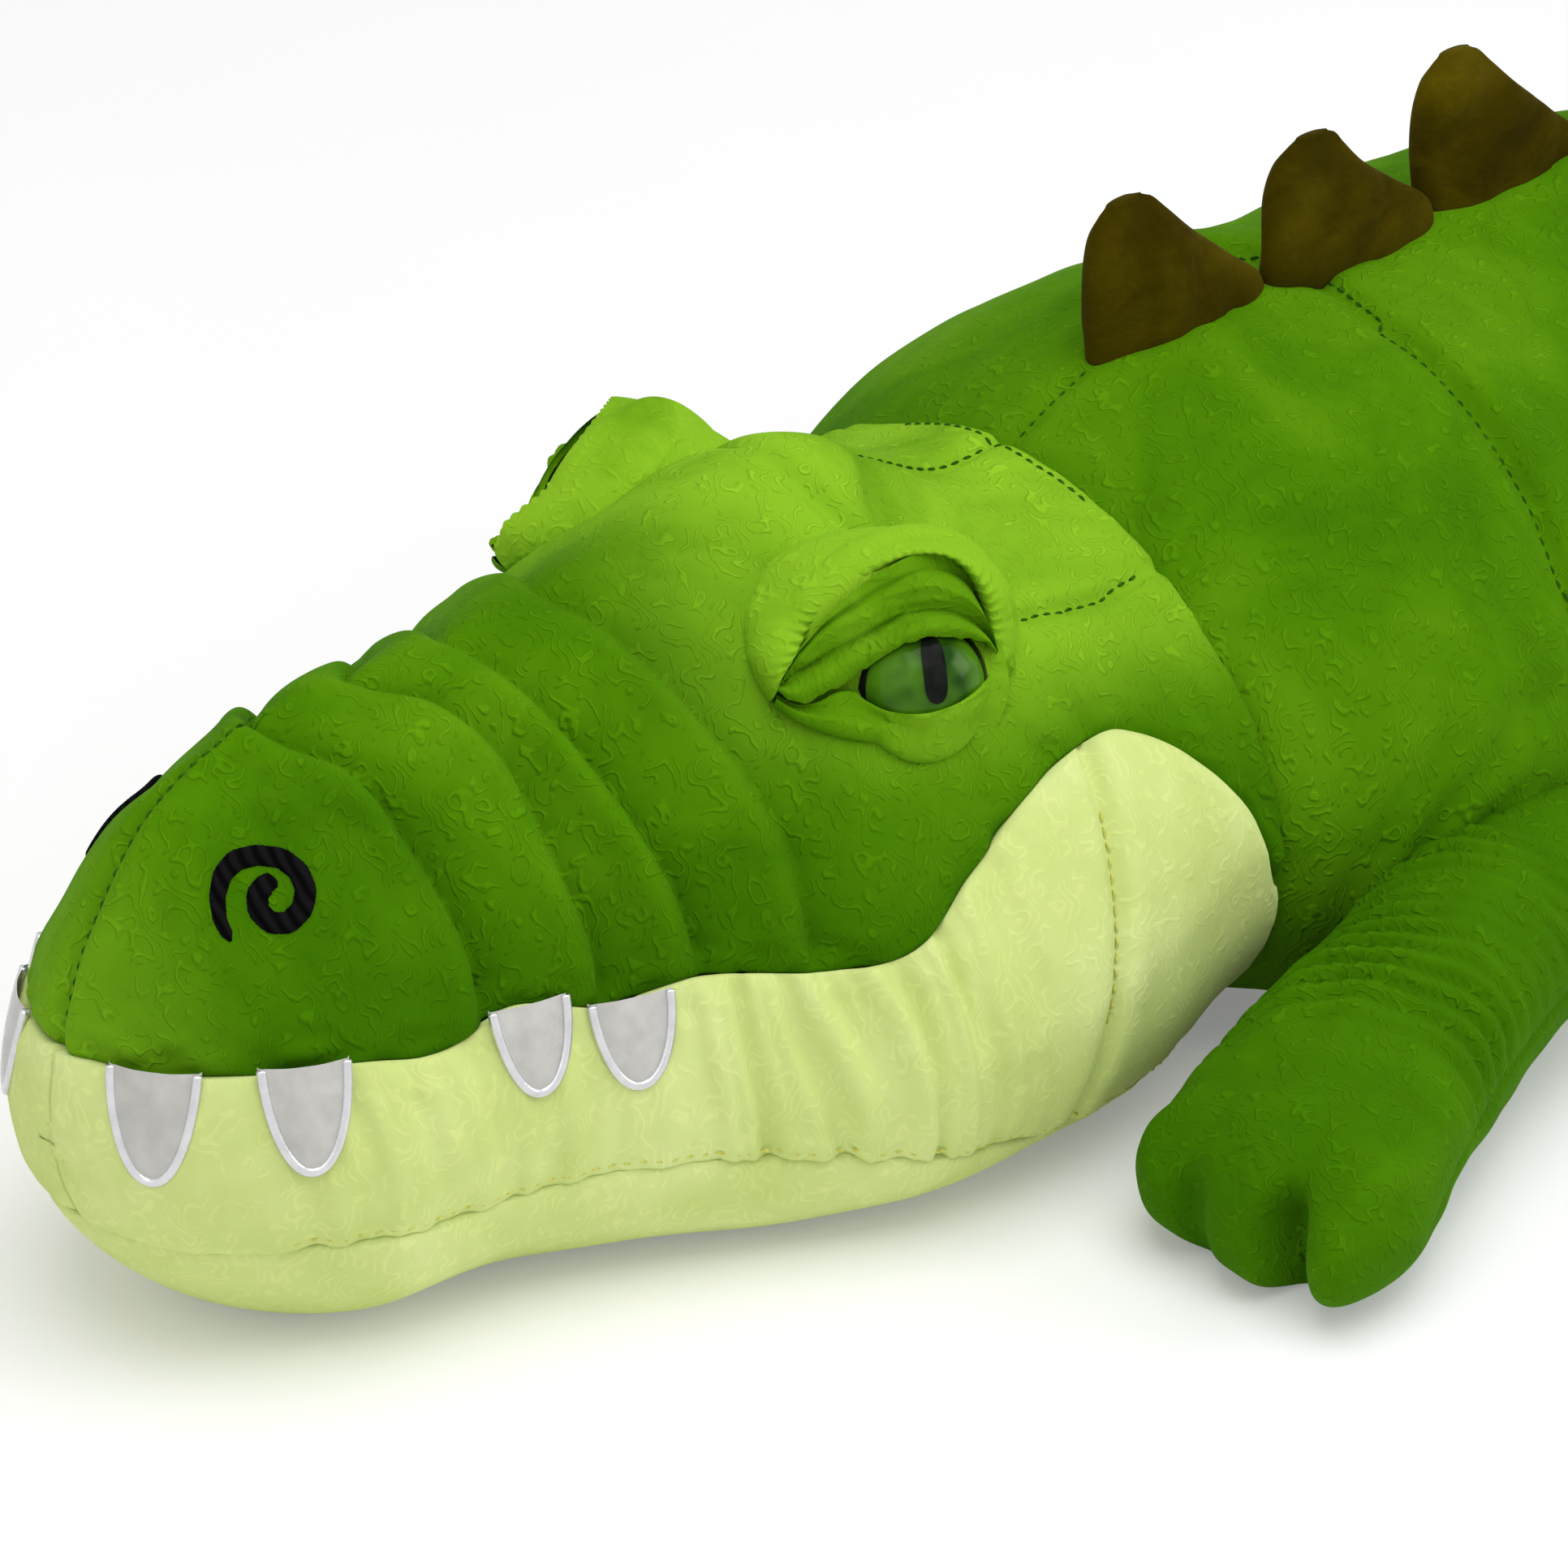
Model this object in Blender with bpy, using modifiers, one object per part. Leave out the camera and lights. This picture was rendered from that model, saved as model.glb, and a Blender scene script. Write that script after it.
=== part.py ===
"""A large plush crocodile lying on its belly: sewn fabric panels over stuffing, +Z up, nose to -Y.

Every soft body is a Form, a superellipse section that swells and tapers along its own Y. The head and
the tail turn on domes of the torso and tail, and each leg turns on a round root held in the side seam.
"""

import math

import bmesh
import bpy
import numpy as np
from mathutils import Matrix, Vector

# Overall lengths along Y
HEAD_LENGTH = 0.295
TORSO_LENGTH = 0.472
TAIL_LENGTH = 0.403
TAIL_BASE_LENGTH = 0.179

# Fabric, seams and running clearances
CLOTH = 0.0025
SEAM_GAP = 0.0018
CHIN_SEAM_GAP = 0.0026
TOUCH_GAP = 0.0003
TURN_GAP = 0.0007
FILL_TURN_GAP = 0.0046
FILL_GAP = 0.0035
CLOSE_FILL_GAP = 0.0025
REST_PRESS = 0.0005
BELLY_PRESS = 0.0022

# Torso
BODY_LEVEL = 0.071
CHEST_RADIUS = 0.1226
CHEST_RISE = 0.0905
NECK_SETBACK = 0.075
BELLY_HALF_WIDTH = 0.134
BACK_RISE = 0.099
RUMP_RADIUS = 0.098
RUMP_LEVEL = 0.060
RUMP_RISE = 0.080
RUMP_SETBACK = 0.062
BELLY_SEAM_HEIGHT = 0.030
COLLAR_DEPTH = 0.015

# Head
HEAD_HALF_WIDTH = 0.108
HEAD_HEIGHT = 0.163
SNOUT_LEVEL = 0.058
NOSE_ROUNDING = 0.066
MOUTH_HEIGHT = 0.081
CHIN_SEAM_HEIGHT = 0.036
NECK_BLEND = 0.040
FOLD_DEPTH = 0.007
FOLD_WIDTH = 0.0055
MOUTH_CREASE = 0.003
MOUTH_CREASE_WIDTH = 0.009

# Tail
TAIL_HALF_WIDTH = 0.074
TAIL_RISE = 0.066
TAIL_LEVEL = 0.058
TAIL_KNUCKLE_RADIUS = 0.052
TAIL_KNUCKLE_RISE = 0.044
TAIL_KNUCKLE_LEVEL = 0.042
TAIL_KNUCKLE_SETBACK = 0.031
TAIL_END_HALF_WIDTH = 0.017
TAIL_END_RISE = 0.015
TAIL_END_LEVEL = 0.015
TAIL_END_ROUNDING = 0.030
TAIL_COLLAR_DEPTH = 0.009

# Legs
LEG_LENGTH = 0.160
LEG_ROOT_RADIUS = 0.0295
LEG_ROOT_RISE = 0.027
LEG_ROOT_LEVEL = 0.041
LEG_ROOT_INSET = 0.0046
LEG_HALF_WIDTH = 0.029
LEG_RISE = 0.028
PAW_HALF_WIDTH = 0.038
PAW_RISE = 0.024
PAW_LEVEL = 0.022
PAW_ROUNDING = 0.034
TOE_NOTCH = 0.012
LEG_HANG_SHARE = 0.6
FRONT_LEG_HEADING = -73.5
REAR_LEG_HEADING = -58.0
REAR_LEG_Y = 0.062

# Eyes
EYE_RADIUS = 0.0165
EYE_CENTRE_X = 0.0595
EYE_CENTRE_HEIGHT = 0.1265
EYE_FROM_NECK = 0.083
EYE_AZIMUTH = 60.0
EYE_ELEVATION = 18.0
EYE_FACE_SHARE = 0.35
EYE_SHANK_START_SHARE = 0.75
EYE_SHANK_RADIUS = 0.003
EYE_SHANK_LENGTH = 0.016
WASHER_RADIUS = 0.009
WASHER_THICKNESS = 0.002
WASHER_DEPTH = 0.006
MOUND_X = 0.046
MOUND_HEIGHT = 0.127
MOUND_FROM_NECK = 0.085
MOUND_HALF_THICKNESS = 0.018
MOUND_HALF_LENGTH = 0.038
MOUND_RISE = 0.037
MOUND_LEAN = 14.0
LID_THICKNESS = 0.0024
LID_LENGTH_RATIO = 1.5
LID_OPENING_SHARE = 0.36

# Nostrils, teeth and back spikes
NOSTRIL_RADIUS = 0.0125
NOSTRIL_THREAD_RADIUS = 0.0014
NOSTRIL_X = 0.031
NOSTRIL_FROM_TIP = 0.041
NOSTRIL_HEIGHT = 0.120
NOSTRIL_START_ANGLE = 215.0
NOSTRIL_SWEEP_ANGLE = 520.0
NOSTRIL_CURL_SHARE = 0.72
NOSTRIL_STEPS = 22
TOOTH_WIDTH = 0.022
TOOTH_LENGTH = 0.027
TOOTH_THICKNESS = 0.0014
SPIKE_LENGTH = 0.062
SPIKE_HEIGHT = 0.037
SPIKE_HALF_THICKNESS = 0.0095
SPIKE_GAP = 0.0008
SPIKE_SINK = 0.012

# Places that follow from the lengths
TOTAL_LENGTH = HEAD_LENGTH + TORSO_LENGTH + TAIL_LENGTH
NOSE_Y = -TOTAL_LENGTH / 2
NECK_Y = NOSE_Y + HEAD_LENGTH
RUMP_Y = NECK_Y + TORSO_LENGTH
TAIL_SPLIT_Y = RUMP_Y + TAIL_BASE_LENGTH
TAIL_END_Y = TOTAL_LENGTH / 2
NECK_PIVOT_Y = NECK_Y + NECK_SETBACK
RUMP_PIVOT_Y = RUMP_Y - RUMP_SETBACK
TAIL_PIVOT_Y = TAIL_SPLIT_Y - TAIL_KNUCKLE_SETBACK
NECK_PIVOT = (0.0, NECK_PIVOT_Y, 0.0)
RUMP_PIVOT = (0.0, RUMP_PIVOT_Y, 0.0)
TAIL_PIVOT = (0.0, TAIL_PIVOT_Y, 0.0)
SIDES = (("left", 1.0), ("right", -1.0))

GREEN = (0.105, 0.305, 0.010)
PALE = (0.640, 0.780, 0.250)
OLIVE = (0.090, 0.070, 0.004)
FILL = (0.850, 0.850, 0.820)
SILVER = (0.560, 0.560, 0.570)
BLACK = (0.010, 0.010, 0.012)
IRIS = (0.060, 0.230, 0.040)
WASHER_GREY = (0.300, 0.300, 0.300)

# Facets round the forms
BACK_COLUMNS = 12
BELLY_COLUMNS = 6
JAW_COLUMNS = 3
TAIL_COLUMNS = 14
FILL_COLUMNS = 12
LEG_FILL_COLUMNS = 8
POCKET_SEGMENTS = 12


def along(stops, share):
    """Smooth value at a share of a length, through (share, value) stops, level at both ends."""
    places, values = np.array(stops, float).T
    share = np.clip(np.asarray(share, float), places[0], places[-1])
    slopes = np.zeros_like(values)
    slopes[1:-1] = (values[2:] - values[:-2]) / (places[2:] - places[:-2])
    i = np.clip(np.searchsorted(places, share, side="right") - 1, 0, len(places) - 2)
    span = places[i + 1] - places[i]
    t = (share - places[i]) / span
    rise = values[i] * (2 * t**3 - 3 * t**2 + 1) + values[i + 1] * (3 * t**2 - 2 * t**3)
    return rise + span * (slopes[i] * (t**3 - 2 * t**2 + t) + slopes[i + 1] * (t**3 - t**2))


def smooth(share):
    share = np.clip(share, 0.0, 1.0)
    return share * share * (3 - 2 * share)


class Form:
    """A soft body along Y: half width, rise and depth about a level, with domes or rounded ends.

    The section is a superellipse. Its powers across and upward may differ, and change along the body.
    """

    def __init__(self, start, end, half, rise, level, across, upward, belly):
        self.start = start
        self.end = end
        self.half_stops = half
        self.rise_stops = rise
        self.level_stops = level
        self.across_stops = across
        self.upward_stops = upward
        self.belly_stops = belly
        self.front_dome = None
        self.rear_dome = None
        self.front_rounding = 0.0
        self.rear_rounding = 0.0
        self.rounding_power = 2.0
        self.press = REST_PRESS
        self.cuff = None
        self.relief = None

    def share(self, y):
        return (y - self.start) / (self.end - self.start)

    def held(self, y):
        """The place along Y whose sizes a dome keeps."""
        front = self.front_dome if self.front_dome is not None else -TOTAL_LENGTH
        rear = self.rear_dome if self.rear_dome is not None else TOTAL_LENGTH
        return np.clip(y, front, rear)

    def level(self, y):
        return along(self.level_stops, self.share(self.held(y)))

    def closing(self, y, grow):
        """How far the rounded ends close the section at y, from 1 down to 0."""
        closed = np.ones_like(y)
        ends = ((self.front_rounding, y - self.start), (self.rear_rounding, self.end - y))
        for rounding, inside in ends:
            if rounding:
                share = np.clip((rounding - inside) / (rounding + grow), 0.0, 1.0)
                round_end = (1 - share**self.rounding_power) ** (1 / self.rounding_power)
                closed = np.minimum(closed, round_end)
        return closed

    def underside(self, y, level):
        return level + self.press

    def sizes(self, y, grow):
        """Offset from a dome's pivot, half width, rise, depth and level of the section at y."""
        y = np.asarray(y, float)
        at = self.held(y)
        offset = np.abs(y - at)
        share = self.share(at)
        closed = self.closing(at, grow)
        level = along(self.level_stops, share)
        half = (along(self.half_stops, share) + grow) * closed
        rise = (along(self.rise_stops, share) + grow) * closed
        depth = (self.underside(at, level) + grow) * closed
        return offset, half, rise, depth, level

    def reach(self, y, angles, grow=0.0):
        """Distance from the section's centre to the surface, along each angle."""
        y, angles = np.broadcast_arrays(np.asarray(y, float), np.asarray(angles, float))
        offset, half, rise, depth, _ = self.sizes(y, grow)
        share = self.share(self.held(y))
        cosine = np.cos(angles)
        sine = np.sin(angles)
        belly = along(self.belly_stops, share)
        across_power = np.where(sine >= 0, along(self.across_stops, share), belly)
        upward_power = np.where(sine >= 0, along(self.upward_stops, share), belly)
        height = np.maximum(np.where(sine >= 0, rise, depth), REST_PRESS)
        half = np.maximum(half, REST_PRESS)
        low = np.zeros_like(angles)
        high = 2 * np.maximum(half, height)
        for _ in range(30):
            middle = (low + high) / 2
            across = np.hypot(middle * cosine, offset) / half
            upward = np.abs(middle * sine) / height
            inside = across**across_power + upward**upward_power < 1
            low = np.where(inside, middle, low)
            high = np.where(inside, high, middle)
        found = (low + high) / 2
        if self.relief is not None:
            found = found + self.relief(self, y, angles, found)
        if self.cuff is not None:
            neighbour, rim, length, clearance = self.cuff
            blend = 1 - smooth(np.abs(y - rim) / length)
            found = found * (1 - blend) + blend * neighbour.reach(rim, angles, clearance + grow)
        return found

    def points(self, y, angles, grow=0.0):
        """Surface points of the sections at y, pressed flat where they rest on the ground."""
        y, angles = np.broadcast_arrays(np.asarray(y, float), np.asarray(angles, float))
        distance = self.reach(y, angles, grow)
        x = distance * np.cos(angles)
        z = np.maximum(self.level(y) + distance * np.sin(angles), -grow)
        return np.stack([x, y, z], axis=-1)

    def angle_at(self, y, height):
        """Angle on the +X side where the surface passes a height, held to the centre line's sides."""
        y, height = np.broadcast_arrays(np.asarray(y, float), np.asarray(height, float))
        low = np.full(y.shape, -math.pi / 2)
        high = np.full(y.shape, math.pi / 2)
        level = self.level(y)
        for _ in range(26):
            middle = (low + high) / 2
            below = level + self.reach(y, middle) * np.sin(middle) < height
            low = np.where(below, middle, low)
            high = np.where(below, high, middle)
        return (low + high) / 2

    def value(self, points, grow=0.0):
        """Under 1 inside the surface and over 1 outside."""
        x, y, z = np.asarray(points, float).T
        level = self.level(y)
        angles = np.arctan2(z - level, np.abs(x))
        return np.hypot(x, z - level) / np.maximum(self.reach(y, angles, grow), REST_PRESS / 10)

    def drop(self, starts, direction, distance, grow=0.0):
        """Where lines from outside, along one direction, first meet the surface."""
        starts = np.asarray(starts, float)
        direction = np.array(Vector(direction).normalized())
        low = np.zeros(len(starts))
        high = np.full(len(starts), distance)
        for _ in range(26):
            middle = (low + high) / 2
            outside = self.value(starts + middle[:, None] * direction, grow) > 1
            low = np.where(outside, middle, low)
            high = np.where(outside, high, middle)
        return starts + high[:, None] * direction

    def normal(self, point):
        """Direction straight out of the surface near a point."""
        step = CLOTH / 4
        point = np.array(point, float)
        around = [point + step * np.eye(3)[i] * sign for i in range(3) for sign in (1, -1)]
        values = self.value(np.array(around))
        return Vector(values[0::2] - values[1::2]).normalized()


def clear_scene():
    for obj in list(bpy.data.objects):
        bpy.data.objects.remove(obj, do_unlink=True)


def collection(name, hidden=False):
    made = bpy.data.collections.new(name)
    bpy.context.scene.collection.children.link(made)
    made.hide_render = hidden
    return made


def material(name, colour, roughness, metallic=0.0):
    made = bpy.data.materials.new(name)
    made.use_nodes = True
    shader = made.node_tree.nodes["Principled BSDF"]
    shader.inputs["Base Color"].default_value = (*colour, 1.0)
    shader.inputs["Roughness"].default_value = roughness
    shader.inputs["Metallic"].default_value = metallic
    made.diffuse_color = (*colour, 1.0)
    return made


clear_scene()
PARTS = collection("plush_crocodile")
CUTTERS = collection("cutters", hidden=True)
FINISHES = {
    "green_plush": material("green_plush", GREEN, 0.9),
    "pale_plush": material("pale_plush", PALE, 0.9),
    "olive_plush": material("olive_plush", OLIVE, 0.9),
    "stuffing": material("stuffing", FILL, 1.0),
    "tooth_satin": material("tooth_satin", SILVER, 0.45),
    "black_thread": material("black_thread", BLACK, 0.6),
    "eye_plastic": material("eye_plastic", IRIS, 0.1),
    "washer_plastic": material("washer_plastic", WASHER_GREY, 0.5),
}


def finish(name, mesh, finish_name=None, pivot=None):
    """Links a mesh as a part with its origin on its joint's axis, or as a cutter if it has no finish."""
    obj = bpy.data.objects.new(name, mesh)
    if pivot is not None:
        mesh.transform(Matrix.Translation(-Vector(pivot)))
        obj.location = pivot
    if finish_name is None:
        CUTTERS.objects.link(obj)
        obj.hide_render = True
        obj.display_type = "WIRE"
    else:
        PARTS.objects.link(obj)
        mesh.materials.append(FINISHES[finish_name])
    mesh.shade_smooth()
    return obj


def mesh_of(name, shape):
    mesh = bpy.data.meshes.new(name)
    shape.to_mesh(mesh)
    shape.free()
    return mesh


def grid_shape(rows, closed):
    """Triangles between rows of points; a row that has shrunk to a point is a pole."""
    shape = bmesh.new()
    made = []
    for row in rows:
        points = np.asarray(row, float)
        if np.ptp(points, axis=0).max() < CLOTH / 2:
            points = points.mean(axis=0, keepdims=True)
        made.append([shape.verts.new(point) for point in points])
    for before, after in zip(made, made[1:]):
        wide = max(len(before), len(after))
        for i in range(wide if closed else wide - 1):
            j = (i + 1) % wide
            ring = (
                before[i % len(before)], before[j % len(before)],
                after[j % len(after)], after[i % len(after)],
            )
            for half in ((ring[0], ring[1], ring[2]), (ring[0], ring[2], ring[3])):
                if len(set(half)) == 3:
                    shape.faces.new(half)
    shape.normal_update()
    return shape, made


def face_outwards(shape, centre_of):
    """Turns an open sheet so that its faces point away from a line of centres."""
    leaning = 0.0
    for face in shape.faces:
        centre = face.calc_center_median()
        leaning += face.normal.dot(centre - centre_of(centre)) * face.calc_area()
    if leaning < 0:
        bmesh.ops.reverse_faces(shape, faces=shape.faces)


def shell(obj, thickness):
    thick = obj.modifiers.new("cloth", "SOLIDIFY")
    thick.thickness = thickness
    thick.offset = -1.0
    thick.use_rim = True
    return obj


def cut(obj, other, name="cut"):
    trimmed = obj.modifiers.new(name, "BOOLEAN")
    trimmed.operation = "DIFFERENCE"
    trimmed.solver = "EXACT"
    trimmed.object = other
    return obj


def column_shares(columns):
    """Shares of the way across a panel, a little closer together at both edges."""
    even = np.linspace(0.0, 1.0, columns + 1)[None, :]
    return (even + (1 - np.cos(math.pi * even)) / 2) / 2


def sheet_rows(form, stations, low_at, high_at, columns, grow=0.0, slant=None):
    """Rows of points between two angles. A slant moves a row back as it comes down the sides."""
    share = column_shares(columns)
    y = np.repeat(np.asarray(stations, float)[:, None], columns + 1, axis=1)
    if slant is not None:
        low, high = low_at(y), high_at(y)
        y = y + slant(form, y) * down_the_side(low + (high - low) * share)
    low, high = low_at(y), high_at(y)
    return form.points(y, low + (high - low) * share, grow)


def down_the_side(angles):
    """0 on the centre line of the top, 1 at the level of the section's centre."""
    return 1 - np.arcsin(np.clip(np.sin(angles), 0.0, 1.0)) * 2 / math.pi


def panel(name, form, rows, finish_name, pivot, thickness=CLOTH):
    """A piece of fabric over the rows, with its thickness inside them."""
    shape, _ = grid_shape(rows, closed=False)
    face_outwards(shape, lambda c: Vector((0.0, c.y, float(form.level(c.y)))))
    return shell(finish(name, mesh_of(name, shape), finish_name, pivot), thickness)


def tube_rows(form, stations, angles, grow=0.0):
    """Closed rings of the form. Angles are one list, or a function of the stations."""
    y = np.asarray(stations, float)[:, None]
    rows = form.points(y, angles(y) if callable(angles) else np.asarray(angles)[None, :], grow)
    offset, half, _, _, level = form.sizes(y[:, 0], grow)
    for i in np.flatnonzero(half - offset < CLOTH / 4):
        rows[i] = (0.0, stations[i], level[i])
    return rows


def tube(name, form, rows, finish_name, pivot):
    """A fabric tube over closed rings, open at a ring end and closed at a pole."""
    shape, _ = grid_shape(rows, closed=True)
    face_outwards(shape, lambda c: Vector((0.0, c.y, float(form.level(c.y)))))
    return shell(finish(name, mesh_of(name, shape), finish_name, pivot), CLOTH)


def solid(name, rows, finish_name=None, pivot=None):
    """A closed solid over rings of points, with flat or pointed ends."""
    shape, made = grid_shape(rows, closed=True)
    for row in (made[0], made[-1]):
        if len(row) > 1:
            shape.faces.new(row)
    bmesh.ops.recalc_face_normals(shape, faces=shape.faces)
    return finish(name, mesh_of(name, shape), finish_name, pivot)


def spaced(start, end, count):
    return [start + (end - start) * i / count for i in range(count + 1)]


def around(columns):
    return list(np.linspace(-math.pi / 2, 1.5 * math.pi, columns + 1))[:-1]


def seam_ring(above, below, top_columns, low_columns):
    """Angles of whole rings, at the points of the panels above and below a seam."""

    def listed(y):
        high, low = above(y), below(y)
        top_ring = high + (math.pi - 2 * high) * column_shares(top_columns)
        low_ring = math.pi - low + (math.pi + 2 * low) * column_shares(low_columns)
        return np.concatenate([top_ring, low_ring], axis=1)

    return listed


def dome_stations(form, front, count, grow=0.0, from_pole=True):
    """Stations over a dome from its pole to its pivot, closer together at the pole."""
    pivot = form.front_dome if front else form.rear_dome
    radius = float(form.sizes(pivot, grow)[1])
    side = -1.0 if front else 1.0
    first = 0 if from_pole else 1
    listed = [
        pivot + side * radius * math.cos(math.pi / 2 * i / count) for i in range(first, count + 1)
    ]
    return listed if front else listed[::-1]


def grown(form, stations, grow):
    """The same stations on a grown form, whose domes grow about their pivots."""
    moved = []
    for y in stations:
        pivot = float(form.held(y))
        radius = float(form.sizes(pivot, 0.0)[1])
        moved.append(pivot + (y - pivot) * (radius + grow) / radius)
    return moved


# Torso: one dome carries the head's rim, the other the tail's
def torso_form():
    made = Form(
        NECK_PIVOT_Y, RUMP_PIVOT_Y,
        half=((0.0, CHEST_RADIUS), (0.42, BELLY_HALF_WIDTH), (1.0, RUMP_RADIUS)),
        rise=((0.0, CHEST_RISE), (0.42, BACK_RISE), (1.0, RUMP_RISE)),
        level=((0.0, BODY_LEVEL), (0.42, BODY_LEVEL), (1.0, RUMP_LEVEL)),
        across=((0.0, 2.2), (0.25, 1.55), (0.8, 1.6), (1.0, 2.1)),
        upward=((0.0, 1.57), (0.25, 1.5), (1.0, 1.65)),
        belly=((0.0, 2.7), (1.0, 2.7)),
    )
    made.front_dome = NECK_PIVOT_Y
    made.rear_dome = RUMP_PIVOT_Y
    made.press = BELLY_PRESS
    return made


# Head: shares of its length from the nose tip to the neck, and of its width and height
HEAD_WIDTH_SHARES = (
    (0.0, 0.56), (0.14, 0.56), (0.3, 0.605), (0.39, 0.68), (0.46, 0.76), (0.55, 0.875),
    (0.62, 0.955), (0.75, 1.0), (0.85, 0.99), (1.0, 0.94),
)
HEAD_TOP_SHARES = (
    (0.0, 0.91), (0.17, 0.935), (0.24, 0.91), (0.36, 0.91), (0.46, 0.93), (0.58, 0.955),
    (0.7, 0.99), (0.79, 0.985), (0.89, 0.925), (1.0, 0.89),
)
HEAD_LEVEL_SHARES = (
    (0.0, 1.0), (0.3, 0.91), (0.46, 0.81), (0.62, 0.79), (0.85, 0.98), (1.0, BODY_LEVEL / SNOUT_LEVEL),
)
MOUTH_LINE_SHARES = (
    (0.0, 1.0), (0.16, 1.01), (0.24, 0.97), (0.31, 1.03), (0.38, 0.97), (0.45, 1.0), (0.56, 0.95),
    (0.62, 0.97), (0.69, 1.12), (0.76, 1.26), (0.83, 1.33), (0.88, 1.32), (0.93, 1.2), (0.97, 1.0),
    (1.0, 0.72),
)
CHIN_LINE_SHARES = ((0.0, 1.0), (0.42, 1.0), (0.6, 0.75), (0.75, 0.5), (1.0, 0.55))
FOLD_PLACE_SHARES = (0.205, 0.31, 0.375, 0.495)
FOLD_STRENGTH_SHARES = (1.0, 0.95, 0.9, 0.6)
FOLD_SLANT_SHARES = (
    (0.1, 0.0), (0.205, 0.085), (0.31, 0.065), (0.375, 0.085), (0.495, 0.07), (0.6, 0.02), (0.7, 0.0),
)
NOSE_ROW_SHARES = (0.0, 0.03, 0.14, 0.38, 0.7)
FOLD_ROW_SHARES = (0.205, 0.257, 0.31, 0.342, 0.375, 0.435, 0.495)
CHEEK_ROW_SHARES = (0.58, 0.67, 0.76, 0.83, 0.89, 0.945, 1.0)


def fold_slant(form, y):
    return HEAD_LENGTH * along(FOLD_SLANT_SHARES, form.share(y))


def mouth_height(y):
    return MOUTH_HEIGHT * along(MOUTH_LINE_SHARES, (y - NOSE_Y) / HEAD_LENGTH)


def chin_height(y):
    return CHIN_SEAM_HEIGHT * along(CHIN_LINE_SHARES, (y - NOSE_Y) / HEAD_LENGTH)


def head_relief(form, y, angles, distance):
    """Sewn tucks across the top of the snout, and the crease along the mouth."""
    share = form.share(y)
    height = form.level(y) + distance * np.sin(angles)
    line = mouth_height(y)
    above = 1 / (1 + np.exp(-(height - line) / (MOUTH_CREASE_WIDTH / 3)))
    change = np.zeros_like(distance)
    for place, strength in zip(FOLD_PLACE_SHARES, FOLD_STRENGTH_SHARES):
        slant = along(FOLD_SLANT_SHARES, place)
        away = (share - place - slant * down_the_side(angles)) * HEAD_LENGTH / FOLD_WIDTH
        change = change - FOLD_DEPTH * strength * np.exp(-(away**2)) * above
    crease = np.exp(-(((height - line) / MOUTH_CREASE_WIDTH) ** 2))
    return change - MOUTH_CREASE * crease * np.clip(4 * (1 - share), 0.0, 1.0)


def head_form(torso):
    level = tuple((at, share * SNOUT_LEVEL) for at, share in HEAD_LEVEL_SHARES)
    made = Form(
        NOSE_Y, NECK_Y,
        half=tuple((at, share * HEAD_HALF_WIDTH) for at, share in HEAD_WIDTH_SHARES),
        rise=tuple(
            (at, share * HEAD_HEIGHT - float(along(level, at))) for at, share in HEAD_TOP_SHARES
        ),
        level=level,
        across=((0.0, 1.45), (0.2, 1.4), (0.36, 1.55), (0.6, 1.5), (0.8, 1.55), (1.0, 1.8)),
        upward=((0.0, 1.45), (0.2, 1.4), (0.36, 1.55), (0.6, 1.5), (0.8, 1.55), (1.0, 1.8)),
        belly=((0.0, 2.3), (0.3, 2.4), (0.5, 3.0), (0.7, 3.4), (1.0, 3.0)),
    )
    made.front_rounding = NOSE_ROUNDING
    made.press = BELLY_PRESS
    made.rounding_power = 1.9
    made.relief = head_relief
    made.cuff = (torso, NECK_Y, NECK_BLEND, cuff_clearance(torso, NECK_Y, BACK_COLUMNS))
    return made


def cuff_clearance(inner, rim, columns):
    """How far a rim's outer face stands off the dome that it turns on, facets allowed for."""
    offset, half, _, _, _ = inner.sizes(rim, 0.0)
    sag = math.sqrt(half**2 - offset**2) * (1 - math.cos(math.pi / (2 * columns)))
    return CLOTH + TURN_GAP + float(sag)


def tail_base_form(torso):
    middle = (TAIL_HALF_WIDTH + TAIL_KNUCKLE_RADIUS) / 2
    made = Form(
        RUMP_Y, TAIL_PIVOT_Y,
        half=((0.0, TAIL_HALF_WIDTH), (0.5, middle), (1.0, TAIL_KNUCKLE_RADIUS)),
        rise=((0.0, TAIL_RISE), (1.0, TAIL_KNUCKLE_RISE)),
        level=((0.0, TAIL_LEVEL), (1.0, TAIL_KNUCKLE_LEVEL)),
        across=((0.0, 1.8), (1.0, 2.2)),
        upward=((0.0, 1.8), (1.0, 1.8)),
        belly=((0.0, 2.7), (1.0, 2.6)),
    )
    made.rear_dome = TAIL_PIVOT_Y
    made.cuff = (torso, RUMP_Y, NECK_BLEND, cuff_clearance(torso, RUMP_Y, TAIL_COLUMNS / 2))
    return made


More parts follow.
